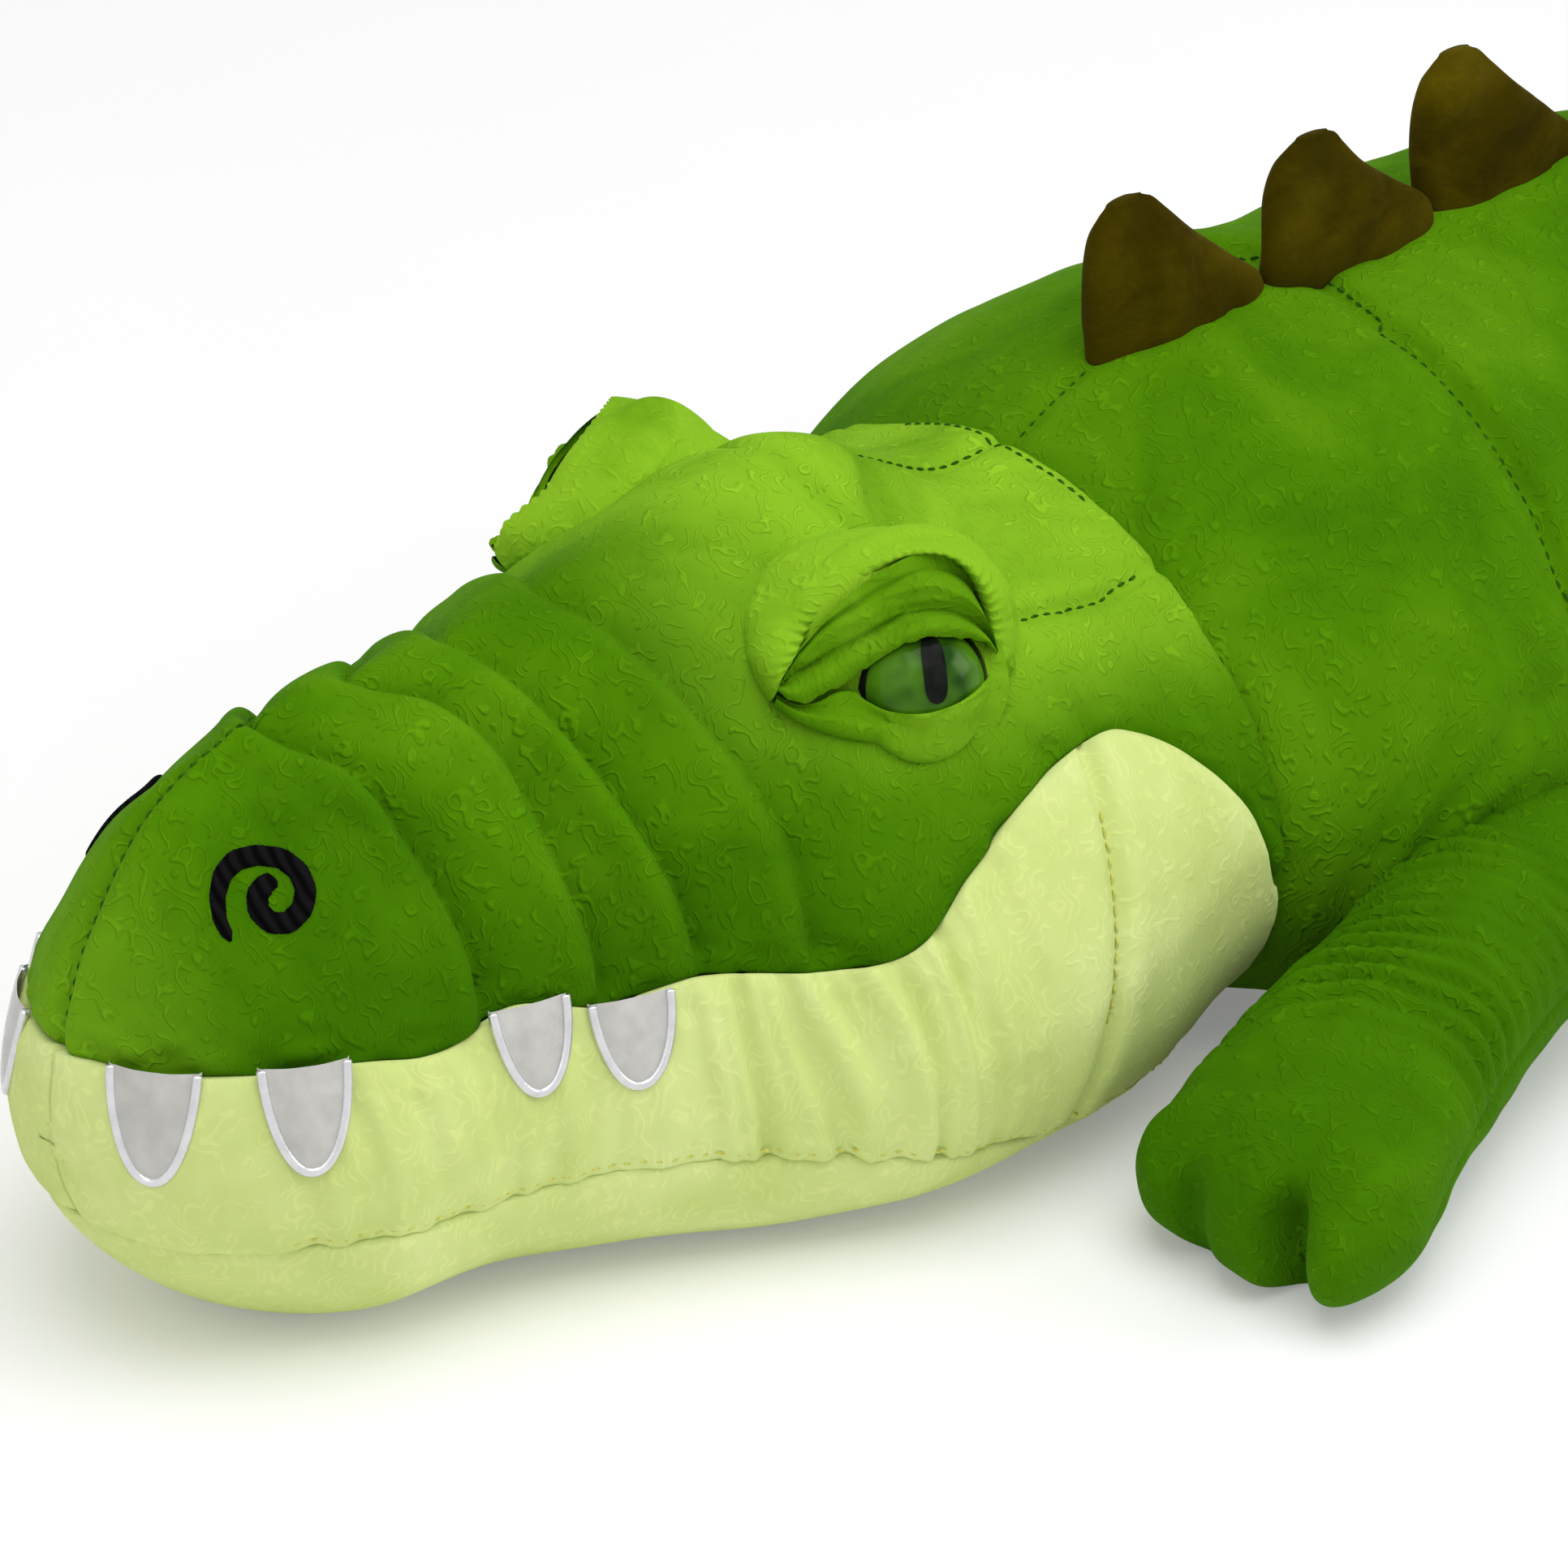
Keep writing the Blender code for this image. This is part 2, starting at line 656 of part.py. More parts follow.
def tail_tip_form(base):
    clearance = cuff_clearance(base, TAIL_SPLIT_Y, 2 * TAIL_COLUMNS) - TOUCH_GAP / 2
    offset, half, _, _, _ = base.sizes(TAIL_SPLIT_Y, clearance)
    rim_half = float(np.sqrt(half**2 - offset**2))
    made = Form(
        TAIL_SPLIT_Y, TAIL_END_Y,
        half=((0.0, rim_half), (1.0, TAIL_END_HALF_WIDTH)),
        rise=((0.0, TAIL_KNUCKLE_RISE * rim_half / TAIL_KNUCKLE_RADIUS), (1.0, TAIL_END_RISE)),
        level=((0.0, TAIL_KNUCKLE_LEVEL), (1.0, TAIL_END_LEVEL)),
        across=((0.0, 1.9), (1.0, 2.0)),
        upward=((0.0, 1.8), (1.0, 2.0)),
        belly=((0.0, 2.6), (1.0, 2.3)),
    )
    made.rear_rounding = TAIL_END_ROUNDING
    made.cuff = (base, TAIL_SPLIT_Y, NECK_BLEND, clearance)
    return made


class LegForm(Form):
    """A leg, whose root hangs clear of the ground and whose paw rests on it."""

    def underside(self, y, level):
        root = 1 - smooth(self.share(y) / LEG_HANG_SHARE)
        return LEG_ROOT_RISE * root + (level + REST_PRESS) * (1 - root)


def leg_form():
    middle_level = (LEG_ROOT_LEVEL + PAW_LEVEL) / 2
    made = LegForm(
        0.0, LEG_LENGTH,
        half=(
            (0.0, LEG_ROOT_RADIUS), (0.22, LEG_HALF_WIDTH), (0.5, LEG_HALF_WIDTH),
            (0.84, PAW_HALF_WIDTH), (1.0, PAW_HALF_WIDTH),
        ),
        rise=((0.0, LEG_ROOT_RISE), (0.5, LEG_RISE), (0.84, PAW_RISE), (1.0, PAW_RISE)),
        level=((0.0, LEG_ROOT_LEVEL), (0.5, middle_level), (0.8, PAW_LEVEL), (1.0, PAW_LEVEL)),
        across=((0.0, 2.0), (1.0, 2.0)),
        upward=((0.0, 2.0), (1.0, 2.0)),
        belly=((0.0, 2.0), (0.5, 2.2), (1.0, 2.4)),
    )
    made.front_dome = 0.0
    made.rear_rounding = PAW_ROUNDING
    made.rounding_power = 2.8
    return made


# Ring points of a leg, as shares of its half width, so that the notches between toes fall on points
LEG_RING_SHARES = (1.0, 0.68, 0.34, 0.0, -0.34, -0.68)
LEG_ANGLES = [math.acos(share) for share in LEG_RING_SHARES]
LEG_ANGLES += [-math.acos(-share) for share in LEG_RING_SHARES]


TOE_GROOVES = (2, 4)


def with_toes(rows):
    """Pulls the paw's end back along the two grooves between its three toes."""
    moved = rows.copy()
    grooves = [i for i in range(len(LEG_ANGLES)) if i % len(LEG_RING_SHARES) in TOE_GROOVES]
    ramp = smooth((moved[:-1, grooves, 1] - LEG_LENGTH + PAW_ROUNDING) / PAW_ROUNDING)
    moved[:-1, grooves, 1] -= TOE_NOTCH * ramp
    return moved


def leg_roots(torso):
    """Each leg's name, root point, heading and side."""
    rear_half = float(torso.sizes(REAR_LEG_Y, 0.0)[1])
    front = (CHEST_RADIUS - LEG_ROOT_INSET, NECK_PIVOT_Y, 0.0)
    rear = (rear_half - LEG_ROOT_INSET, REAR_LEG_Y, 0.0)
    listed = []
    for side_name, side in SIDES:
        listed.append((f"front_leg_{side_name}", front, FRONT_LEG_HEADING, side))
        listed.append((f"rear_leg_{side_name}", rear, REAR_LEG_HEADING, side))
    return listed


def pocket(name, root, side, grow, roundness=1.0):
    """A round space about a leg's root. A roundness under 1 draws it outside its own facets."""
    shape = bmesh.new()
    segments = POCKET_SEGMENTS
    bmesh.ops.create_uvsphere(shape, u_segments=segments, v_segments=segments // 2, radius=1.0)
    radius = (LEG_ROOT_RADIUS + grow) / roundness
    height = (LEG_ROOT_RISE + grow) / roundness
    bmesh.ops.scale(shape, vec=(radius, radius, height), verts=shape.verts)
    bmesh.ops.translate(shape, vec=(root[0] * side, root[1], LEG_ROOT_LEVEL), verts=shape.verts)
    return finish(name, mesh_of(name, shape))


def build_torso(torso):
    middle = spaced(NECK_PIVOT_Y, RUMP_PIVOT_Y, 5)[1:-1]
    front_collar = NECK_Y - COLLAR_DEPTH
    rear_collar = RUMP_Y + COLLAR_DEPTH
    front = [y for y in dome_stations(torso, True, 5) if y > front_collar + COLLAR_DEPTH / 3]
    rear = [y for y in dome_stations(torso, False, 5) if y < rear_collar - COLLAR_DEPTH / 3]
    skin = [front_collar] + front + middle + rear + [rear_collar]
    half_gap = SEAM_GAP / 2

    def above(y):
        return torso.angle_at(y, BELLY_SEAM_HEIGHT + half_gap)

    def below(y):
        return torso.angle_at(y, BELLY_SEAM_HEIGHT - half_gap)

    back_rows = sheet_rows(torso, skin, above, lambda y: math.pi - above(y), BACK_COLUMNS)
    belly_rows = sheet_rows(
        torso, skin, lambda y: math.pi - below(y), lambda y: 2 * math.pi + below(y), BELLY_COLUMNS
    )
    back = panel("back_panel", torso, back_rows, "green_plush", None)
    belly = panel("belly_panel", torso, belly_rows, "pale_plush", None)
    inset = -CLOTH - CLOSE_FILL_GAP
    fill = dome_stations(torso, True, 3, inset) + middle + dome_stations(torso, False, 3, inset)
    ring = seam_ring(above, below, BACK_COLUMNS, BELLY_COLUMNS)
    stuffing = solid("torso_stuffing", tube_rows(torso, fill, ring, inset), "stuffing")
    whole = dome_stations(torso, True, 5)[:-1] + [front_collar] + [NECK_PIVOT_Y] + middle
    whole += dome_stations(torso, False, 5) + [rear_collar]
    whole = sorted(set(whole))
    for name, grow in (("torso_space", 2 * TOUCH_GAP), ("torso_turning_space", FILL_TURN_GAP)):
        solid(name, tube_rows(torso, grown(torso, whole, grow), ring, grow))
    for name, root, _, side in leg_roots(torso):
        hollow = pocket(f"{name}_pocket", root, side, TOUCH_GAP, math.cos(math.pi / POCKET_SEGMENTS) ** 2)
        for piece in (back, belly, stuffing):
            cut(piece, hollow, name)


def crossing(form, seam, above):
    """Where a seam crosses the centre line of the rounded nose."""
    low, high = NOSE_Y, NOSE_Y + NOSE_ROUNDING
    for _ in range(30):
        middle = (low + high) / 2
        _, _, rise, depth, level = form.sizes(middle, 0.0)
        reached = level + rise > seam(middle) if above else level - depth < seam(middle)
        low, high = (low, middle) if reached else (middle, high)
    return high


def build_head(torso, head):
    half_gap = SEAM_GAP / 2
    nose = [NOSE_Y + NOSE_ROUNDING * share for share in NOSE_ROW_SHARES]
    later = [NOSE_Y + HEAD_LENGTH * share for share in FOLD_ROW_SHARES + CHEEK_ROW_SHARES]
    top_start = crossing(head, mouth_height, True) + half_gap
    chin_start = crossing(head, chin_height, False) + half_gap
    top_stations = [top_start] + [y for y in nose + later if y > top_start + CLOTH]

    def lip(y):
        return head.angle_at(y, mouth_height(y) + half_gap)

    def jaw_top(y):
        return head.angle_at(y, mouth_height(y) - half_gap)

    def jaw_bottom(y):
        return head.angle_at(y, chin_height(y) + CHIN_SEAM_GAP / 2)

    def chin(y):
        return head.angle_at(y, chin_height(y) - CHIN_SEAM_GAP / 2)

    def across(y):
        return math.pi - lip(y)

    top_rows = sheet_rows(head, top_stations, lip, across, BACK_COLUMNS, slant=fold_slant)
    top = panel("head_top_panel", head, top_rows, "green_plush", NECK_PIVOT)
    edge = list(top_rows[:, 0, 1])
    jaw_stations = [y for y in nose if y < edge[0] - CLOTH / 4] + edge
    jaw_rows = sheet_rows(head, jaw_stations, jaw_bottom, jaw_top, JAW_COLUMNS)
    jaw_rows[..., 0] = np.maximum(jaw_rows[..., 0], half_gap)
    left = panel("jaw_panel_left", head, jaw_rows, "pale_plush", NECK_PIVOT)
    mirrored_copy(left, "jaw_panel_right")
    chin_stations = [chin_start] + [y for y in jaw_stations if y > chin_start + CLOTH]
    chin_rows = sheet_rows(
        head, chin_stations, lambda y: math.pi - chin(y), lambda y: 2 * math.pi + chin(y), BELLY_COLUMNS
    )
    panel("chin_panel", head, chin_rows, "pale_plush", NECK_PIVOT)

    raised = sheet_rows(head, top_stations, lip, across, BACK_COLUMNS, 2 * TOUCH_GAP, fold_slant)[1:]
    floor = raised[:, [-1, 0]].copy()
    floor[..., 2] = CLOTH
    solid("head_space", np.concatenate([raised, floor], axis=1))
    jaw_space_rows = sheet_rows(head, jaw_stations, jaw_bottom, jaw_top, JAW_COLUMNS, TOUCH_GAP)
    lip_points = head.points(np.array(jaw_stations), lip(np.array(jaw_stations)), TOUCH_GAP)
    jaw_space_rows = np.concatenate([jaw_space_rows, lip_points[:, None]], axis=1)
    panel("jaw_space", head, jaw_space_rows, None, None, 2 * CLOTH)

    inset = -CLOTH - FILL_GAP - FOLD_DEPTH
    fill_start = NOSE_Y - inset
    fill = [fill_start + (NECK_Y - CLOTH - fill_start) * share for share in HEAD_FILL_SHARES]
    stuffing = solid(
        "head_stuffing", tube_rows(head, fill, around(FILL_COLUMNS), inset), "stuffing", NECK_PIVOT
    )
    cut(stuffing, bpy.data.objects["torso_turning_space"], "neck")
    for side_name, side in SIDES:
        build_eye(head, top, stuffing, side_name, side)
        build_nostril(head, side_name, side)
        build_teeth(head, side_name, side)


HEAD_FILL_SHARES = (0.0, 0.04, 0.15, 0.36, 0.6, 0.82, 1.0)


def mirrored_copy(obj, name):
    """The other side's panel, as its own object with its own mesh."""
    mesh = obj.data.copy()
    mesh.name = name
    mesh.transform(Matrix.Scale(-1, 4, Vector((1, 0, 0))))
    mesh.flip_normals()
    other = bpy.data.objects.new(name, mesh)
    other.location = obj.location
    PARTS.objects.link(other)
    return shell(other, CLOTH)


def ball(name, centre, radii, finish_name=None, turn=None, segments=16, pivot=None):
    """A sphere primitive, scaled to three radii and turned about its centre."""
    shape = bmesh.new()
    bmesh.ops.create_uvsphere(shape, u_segments=segments, v_segments=segments * 5 // 8, radius=1.0)
    bmesh.ops.scale(shape, vec=radii, verts=shape.verts)
    if turn is not None:
        bmesh.ops.transform(shape, matrix=turn, verts=shape.verts)
    bmesh.ops.translate(shape, vec=centre, verts=shape.verts)
    return finish(name, mesh_of(name, shape), finish_name, pivot)


def rod(name, start, end, radius, finish_name=None, pivot=None, segments=12):
    """A cylinder primitive from one point to another."""
    start, end = Vector(start), Vector(end)
    shape = bmesh.new()
    bmesh.ops.create_cone(
        shape, cap_ends=True, segments=segments, radius1=radius, radius2=radius, depth=(end - start).length
    )
    turn = Vector((0, 0, 1)).rotation_difference((end - start).normalized()).to_matrix()
    bmesh.ops.rotate(shape, matrix=turn, verts=shape.verts)
    bmesh.ops.translate(shape, vec=(start + end) / 2, verts=shape.verts)
    return finish(name, mesh_of(name, shape), finish_name, pivot)


def eye_direction(side):
    azimuth = math.radians(EYE_AZIMUTH)
    elevation = math.radians(EYE_ELEVATION)
    flat = math.cos(elevation)
    return Vector((side * flat * math.sin(azimuth), -flat * math.cos(azimuth), math.sin(elevation)))


def behind(name, point, normal):
    """A large block behind a plane, for trimming."""
    size = MOUND_HALF_LENGTH * 4
    shape = bmesh.new()
    bmesh.ops.create_cube(shape, size=size)
    turn = Vector((0, 0, 1)).rotation_difference(Vector(normal).normalized()).to_matrix()
    bmesh.ops.translate(shape, vec=(0, 0, -size / 2), verts=shape.verts)
    bmesh.ops.rotate(shape, matrix=turn, verts=shape.verts)
    bmesh.ops.translate(shape, vec=point, verts=shape.verts)
    return finish(name, mesh_of(name, shape))


# Leaning of each lid's edge: its run forward for each unit up
LID_EDGE_SHARES = {"upper": 0.3, "lower": -0.1}


def build_eye(head, top, stuffing, side_name, side):
    """A padded brow over a plastic eye between two fabric lids, held by a washer inside the head."""
    space = bpy.data.objects["head_space"]
    outward = eye_direction(side)
    centre = Vector((side * EYE_CENTRE_X, NECK_Y - EYE_FROM_NECK, EYE_CENTRE_HEIGHT))
    yaw = Matrix.Rotation(math.atan2(outward.y, outward.x), 4, "Z")

    def lid_radii(clearance):
        radius = EYE_RADIUS + clearance
        return (radius, radius * LID_LENGTH_RATIO, radius)

    lid_outer = lid_radii(TOUCH_GAP + LID_THICKNESS)
    lean = Matrix.Rotation(math.radians(MOUND_LEAN) * side, 4, "Y")
    mound_centre = (side * MOUND_X, NECK_Y - MOUND_FROM_NECK, MOUND_HEIGHT)
    mound_radii = (MOUND_HALF_THICKNESS, MOUND_HALF_LENGTH, MOUND_RISE)
    mound = ball(f"brow_{side_name}", mound_centre, mound_radii, "green_plush", lean, 16, NECK_PIVOT)
    hollow = ball(f"lid_space_{side_name}", centre, lid_radii(TOUCH_GAP * 3 + LID_THICKNESS), None, yaw, 16)
    cut(mound, hollow, "lids")
    cut(mound, space, "head")

    eye_radii = (EYE_RADIUS, EYE_RADIUS, EYE_RADIUS)
    eye = ball(f"eye_{side_name}", centre, eye_radii, "eye_plastic", None, 16, NECK_PIVOT)
    cut(eye, behind(f"eye_back_{side_name}", centre + outward * EYE_RADIUS * EYE_FACE_SHARE, outward), "back")
    cut(eye, space, "head")
    inward = -head.normal(centre)
    seat = Vector(head.drop([centre - inward * EYE_RADIUS * 2], inward, EYE_RADIUS * 4)[0])
    shank_start = centre - inward * EYE_RADIUS * EYE_SHANK_START_SHARE
    shank = rod(f"eye_shank_{side_name}", shank_start, seat + inward * EYE_SHANK_LENGTH, EYE_SHANK_RADIUS)
    joined = eye.modifiers.new("shank", "BOOLEAN")
    joined.operation = "UNION"
    joined.solver = "EXACT"
    joined.object = shank
    hole_radius = EYE_SHANK_RADIUS + TOUCH_GAP
    hole = rod(
        f"shank_hole_{side_name}", seat - inward * EYE_RADIUS,
        seat + inward * (EYE_SHANK_LENGTH + CLOTH), hole_radius,
    )
    cut(top, hole, f"shank_{side_name}")
    washer_start = seat + inward * WASHER_DEPTH
    washer_end = washer_start + inward * WASHER_THICKNESS
    washer = rod(
        f"eye_washer_{side_name}", washer_start, washer_end, WASHER_RADIUS, "washer_plastic", NECK_PIVOT
    )
    cut(washer, hole, "bore")
    recess = rod(
        f"washer_recess_{side_name}", seat - inward * EYE_RADIUS,
        seat + inward * (EYE_SHANK_LENGTH + TOUCH_GAP), WASHER_RADIUS + TOUCH_GAP,
    )
    cut(stuffing, recess, f"washer_{side_name}")

    for lid_name, forward in LID_EDGE_SHARES.items():
        up = 1.0 if lid_name == "upper" else -1.0
        name = f"{lid_name}_lid_{side_name}"
        lid = ball(name, centre, lid_outer, "green_plush", yaw, 16, NECK_PIVOT)
        inner = ball(f"{name}_inner", centre, lid_radii(TOUCH_GAP), None, yaw, 16)
        edge = centre + Vector((0.0, 0.0, up * EYE_RADIUS * LID_OPENING_SHARE))
        trim = behind(f"{name}_trim", edge, Vector((0.0, -forward * up, up)))
        cut(lid, inner, "inside")
        cut(lid, trim, "opening")
        cut(lid, space, "head")


def build_nostril(head, side_name, side):
    """An embroidered spiral on the snout, as one raised thread."""
    place = Vector((NOSTRIL_X, NOSE_Y + NOSTRIL_FROM_TIP, NOSTRIL_HEIGHT))
    outward = head.normal(place)
    across = outward.cross(Vector((0, 0, 1))).normalized()
    upward = across.cross(outward).normalized()
    starts = []
    for i in range(NOSTRIL_STEPS):
        share = i / (NOSTRIL_STEPS - 1)
        angle = math.radians(NOSTRIL_START_ANGLE - NOSTRIL_SWEEP_ANGLE * share)
        radius = NOSTRIL_RADIUS * (1 - NOSTRIL_CURL_SHARE * share)
        flat = across * (radius * math.cos(angle)) + upward * radius * math.sin(angle)
        starts.append(place + flat + outward * NOSE_ROUNDING)
    route = head.drop(starts, -outward, 2 * NOSE_ROUNDING, NOSTRIL_THREAD_RADIUS / 2)
    route[:, 0] *= side
    name = f"nostril_{side_name}"
    curve = bpy.data.curves.new(name, "CURVE")
    curve.dimensions = "3D"
    curve.bevel_depth = NOSTRIL_THREAD_RADIUS
    curve.bevel_resolution = 1
    curve.use_fill_caps = True
    spline = curve.splines.new("POLY")
    spline.points.add(NOSTRIL_STEPS - 1)
    for point, spot in zip(spline.points, route):
        point.co = (*spot, 1.0)
    guide = bpy.data.objects.new(f"{name}_guide", curve)
    CUTTERS.objects.link(guide)
    guide.hide_render = True
    bpy.context.view_layer.update()
    graph = bpy.context.evaluated_depsgraph_get()
    mesh = bpy.data.meshes.new_from_object(guide.evaluated_get(graph))
    bpy.data.objects.remove(guide, do_unlink=True)
    shape = bmesh.new()
    shape.from_mesh(mesh)
    bmesh.ops.remove_doubles(shape, verts=shape.verts, dist=REST_PRESS / 10)
    bmesh.ops.recalc_face_normals(shape, faces=shape.faces)
    bpy.data.meshes.remove(mesh)
    thread = finish(name, mesh_of(name, shape), "black_thread", NECK_PIVOT)
    cut(thread, bpy.data.objects["head_space"], "head")


# Each tooth: share of the head's length where it hangs, and shares of the tooth's width and length
TOOTH_SHARES = ((0.045, 1.0, 1.0), (0.13, 0.95, 0.92), (0.315, 0.9, 0.78), (0.395, 0.95, 0.78))
TOOTH_ROW_SHARES = (0.0, 0.25, 0.5, 0.72, 0.9, 1.0)


def build_teeth(head, side_name, side):
    """Flat satin teeth that hang from the lip and follow the jaw's surface."""
    for number, (place, wide, long) in enumerate(TOOTH_SHARES, 1):
        width, length = TOOTH_WIDTH * wide, TOOTH_LENGTH * long
        y = np.array([-width / 4, width / 4]) + NOSE_Y + HEAD_LENGTH * place
        top_height = float(mouth_height(y).min()) - SEAM_GAP
        ends = head.points(y, head.angle_at(y, top_height))
        along_jaw = Vector(ends[1] - ends[0])
        along_jaw.z = 0.0
        along_jaw.normalize()
        outward = Vector((abs(along_jaw.y), -abs(along_jaw.x), 0.0))
        rows = []
        for down in TOOTH_ROW_SHARES:
            half = width / 2 * math.sqrt(max(1 - down**1.8, 0.0))
            starts = []
            for across in np.linspace(-1.0, 1.0, 5):
                spot = Vector(ends.mean(axis=0)) + along_jaw * (across * half) + outward * NOSE_ROUNDING
                starts.append((spot.x, spot.y, top_height - down * length))
            found = head.drop(starts, -outward, 2 * NOSE_ROUNDING, TOUCH_GAP + TOOTH_THICKNESS)
            found[:, 0] *= side
            rows.append(found)
        shape, _ = grid_shape(rows, closed=False)
        facing = Vector((outward.x * side, outward.y, 0.0))
        face_outwards(shape, lambda c, facing=facing: c - facing)
        name = f"tooth_{side_name}_{number}"
        tooth = shell(finish(name, mesh_of(name, shape), "tooth_satin", NECK_PIVOT), TOOTH_THICKNESS * 2)
        cut(tooth, bpy.data.objects["jaw_space"] if side > 0 else mirrored_space(), "jaw")


def mirrored_space():
    """The right jaw's cutter, made from the left one when it is first asked for."""
    if "jaw_space_right" not in bpy.data.objects:
        left = bpy.data.objects["jaw_space"]
        mesh = left.data.copy()
        mesh.transform(Matrix.Scale(-1, 4, Vector((1, 0, 0))))
        mesh.flip_normals()
        shell(finish("jaw_space_right", mesh), 2 * CLOTH)
    return bpy.data.objects["jaw_space_right"]


def build_tail(torso, base, tip):
    inset = -CLOTH - FILL_GAP
    middle = spaced(RUMP_Y, TAIL_PIVOT_Y, 5)[:-1]
    knuckle = dome_stations(base, False, 4)
    collar = TAIL_SPLIT_Y + TAIL_COLLAR_DEPTH
    base_skin = middle + [y for y in knuckle if y < collar - TAIL_COLLAR_DEPTH / 3] + [collar]
    columns = around(TAIL_COLUMNS)
    fill_columns = around(FILL_COLUMNS)
    tube("tail_base_skin", base, tube_rows(base, base_skin, columns), "green_plush", RUMP_PIVOT)
    base_fill = [RUMP_Y + CLOTH] + middle[1::2] + dome_stations(base, False, 3, inset)
    rows = tube_rows(base, base_fill, fill_columns, inset)
    stuffing = solid("tail_base_stuffing", rows, "stuffing", RUMP_PIVOT)
    cut(stuffing, bpy.data.objects["torso_turning_space"], "rump")
    whole = sorted(set(middle + knuckle + [collar]))
    for name, grow in (("tail_base_space", 2 * TOUCH_GAP), ("tail_turning_space", FILL_TURN_GAP)):
        solid(name, tube_rows(base, grown(base, whole, grow), columns, grow))

    rounding_shares = (0.5, 0.85, 1.0)
    tip_stations = spaced(TAIL_SPLIT_Y, TAIL_END_Y - TAIL_END_ROUNDING, 5)
    tip_stations += [TAIL_END_Y - TAIL_END_ROUNDING * (1 - share) for share in rounding_shares]
    between = [angle + math.pi / TAIL_COLUMNS for angle in columns]
    tube("tail_tip_skin", tip, tube_rows(tip, tip_stations, between), "green_plush", TAIL_PIVOT)
    tip_inset = -CLOTH - CLOSE_FILL_GAP
    fill_end = TAIL_END_Y + tip_inset
    tip_fill = [TAIL_SPLIT_Y + CLOTH] + tip_stations[1:6:2]
    tip_fill += [fill_end - TAIL_END_ROUNDING * (1 - share) for share in rounding_shares[:-1]]
    rows = tube_rows(tip, tip_fill, fill_columns, tip_inset)
    stuffing = solid("tail_tip_stuffing", rows, "stuffing", TAIL_PIVOT)
    cut(stuffing, bpy.data.objects["tail_turning_space"], "knuckle")
    solid("tail_tip_space", tube_rows(tip, tip_stations, between, 2 * TOUCH_GAP))


def build_legs(torso, leg):
    inset = -CLOTH - FILL_GAP
    shaft = spaced(0.0, LEG_LENGTH - PAW_ROUNDING, 3)[1:]
    paw = [LEG_LENGTH - PAW_ROUNDING * (1 - share) for share in (0.4, 0.8, 1.0)]
    skin_rows = with_toes(tube_rows(leg, dome_stations(leg, True, 3)[1:] + shaft + paw, LEG_ANGLES))
    fill_end = LEG_LENGTH + inset - TOE_NOTCH
    fill = dome_stations(leg, True, 3, inset) + spaced(0.0, fill_end - PAW_ROUNDING, 2)[1:]
    fill += [fill_end - PAW_ROUNDING * (1 - share) for share in (0.45, 0.8)]
    fill_rows = tube_rows(leg, fill, around(LEG_FILL_COLUMNS), inset)
    space = bpy.data.objects["torso_space"]
    for name, root, heading, side in leg_roots(torso):
        turn = math.radians(heading) - math.pi / 2
        mirror = Matrix.Scale(side, 4, Vector((1, 0, 0)))
        place = mirror @ Matrix.Translation(Vector(root)) @ Matrix.Rotation(turn, 4, "Z")
        pivot = (root[0] * side, root[1], 0.0)
        outside = space.copy()
        outside.name = f"{name}_outside"
        CUTTERS.objects.link(outside)
        cut(outside, pocket(f"{name}_turning_pocket", root, side, -CLOTH), "pocket")
        skin = tube(f"{name}_skin", leg, skin_rows, "green_plush", None)
        stuffing = solid(f"{name}_stuffing", fill_rows, "stuffing")
        for piece in (skin, stuffing):
            piece.data.transform(Matrix.Translation(-Vector(pivot)) @ place)
            if side < 0:
                piece.data.flip_normals()
            piece.location = pivot
        cut(skin, space, "body")
        cut(stuffing, outside, "body")


# Outline of one spike: share of its height, then its front and rear edges as shares of its length
SPIKE_OUTLINE_SHARES = (
    (0.0, 0.0, 1.0), (0.3, -0.03, 0.97), (0.5, -0.03, 0.76), (0.72, 0.0, 0.52), (0.92, 0.08, 0.33),
)
SPIKE_TIP_SHARE = 0.18
SPIKE_START_SHARES = (0.52, 0.15, 0.15)
SPIKE_END_SHARES = (0.35, 0.25)
SPIKE_BULGE_SHARES = (0.9, 1.0, 0.95, 0.75, 0.45)


def build_spike(name, form, space, start, length, height, lean, pivot):
    """A lightly filled fin, steep in front and long behind, seated on the back."""
    rows = []
    for (up, front, rear), bulge in zip(SPIKE_OUTLINE_SHARES, SPIKE_BULGE_SHARES):
        angles = math.pi / 4 * np.arange(8)
        y = start + length * ((rear + front) / 2 + (rear - front) / 2 * np.cos(angles))
        ground = form.points(y, math.pi / 2)[:, 2]
        half = SPIKE_HALF_THICKNESS * height / SPIKE_HEIGHT * bulge
        x = half * np.sin(angles) + lean * up * height
        z = ground - SPIKE_SINK + up * (height + SPIKE_SINK)
        rows.append(np.stack([x, y, z], axis=1))
    tip_y = start + SPIKE_TIP_SHARE * length
    tip = (lean * height, tip_y, float(form.points(tip_y, math.pi / 2)[2]) + height)
    rows.append(np.array([tip]))
    return cut(solid(name, rows, "olive_plush", pivot), space, "back")


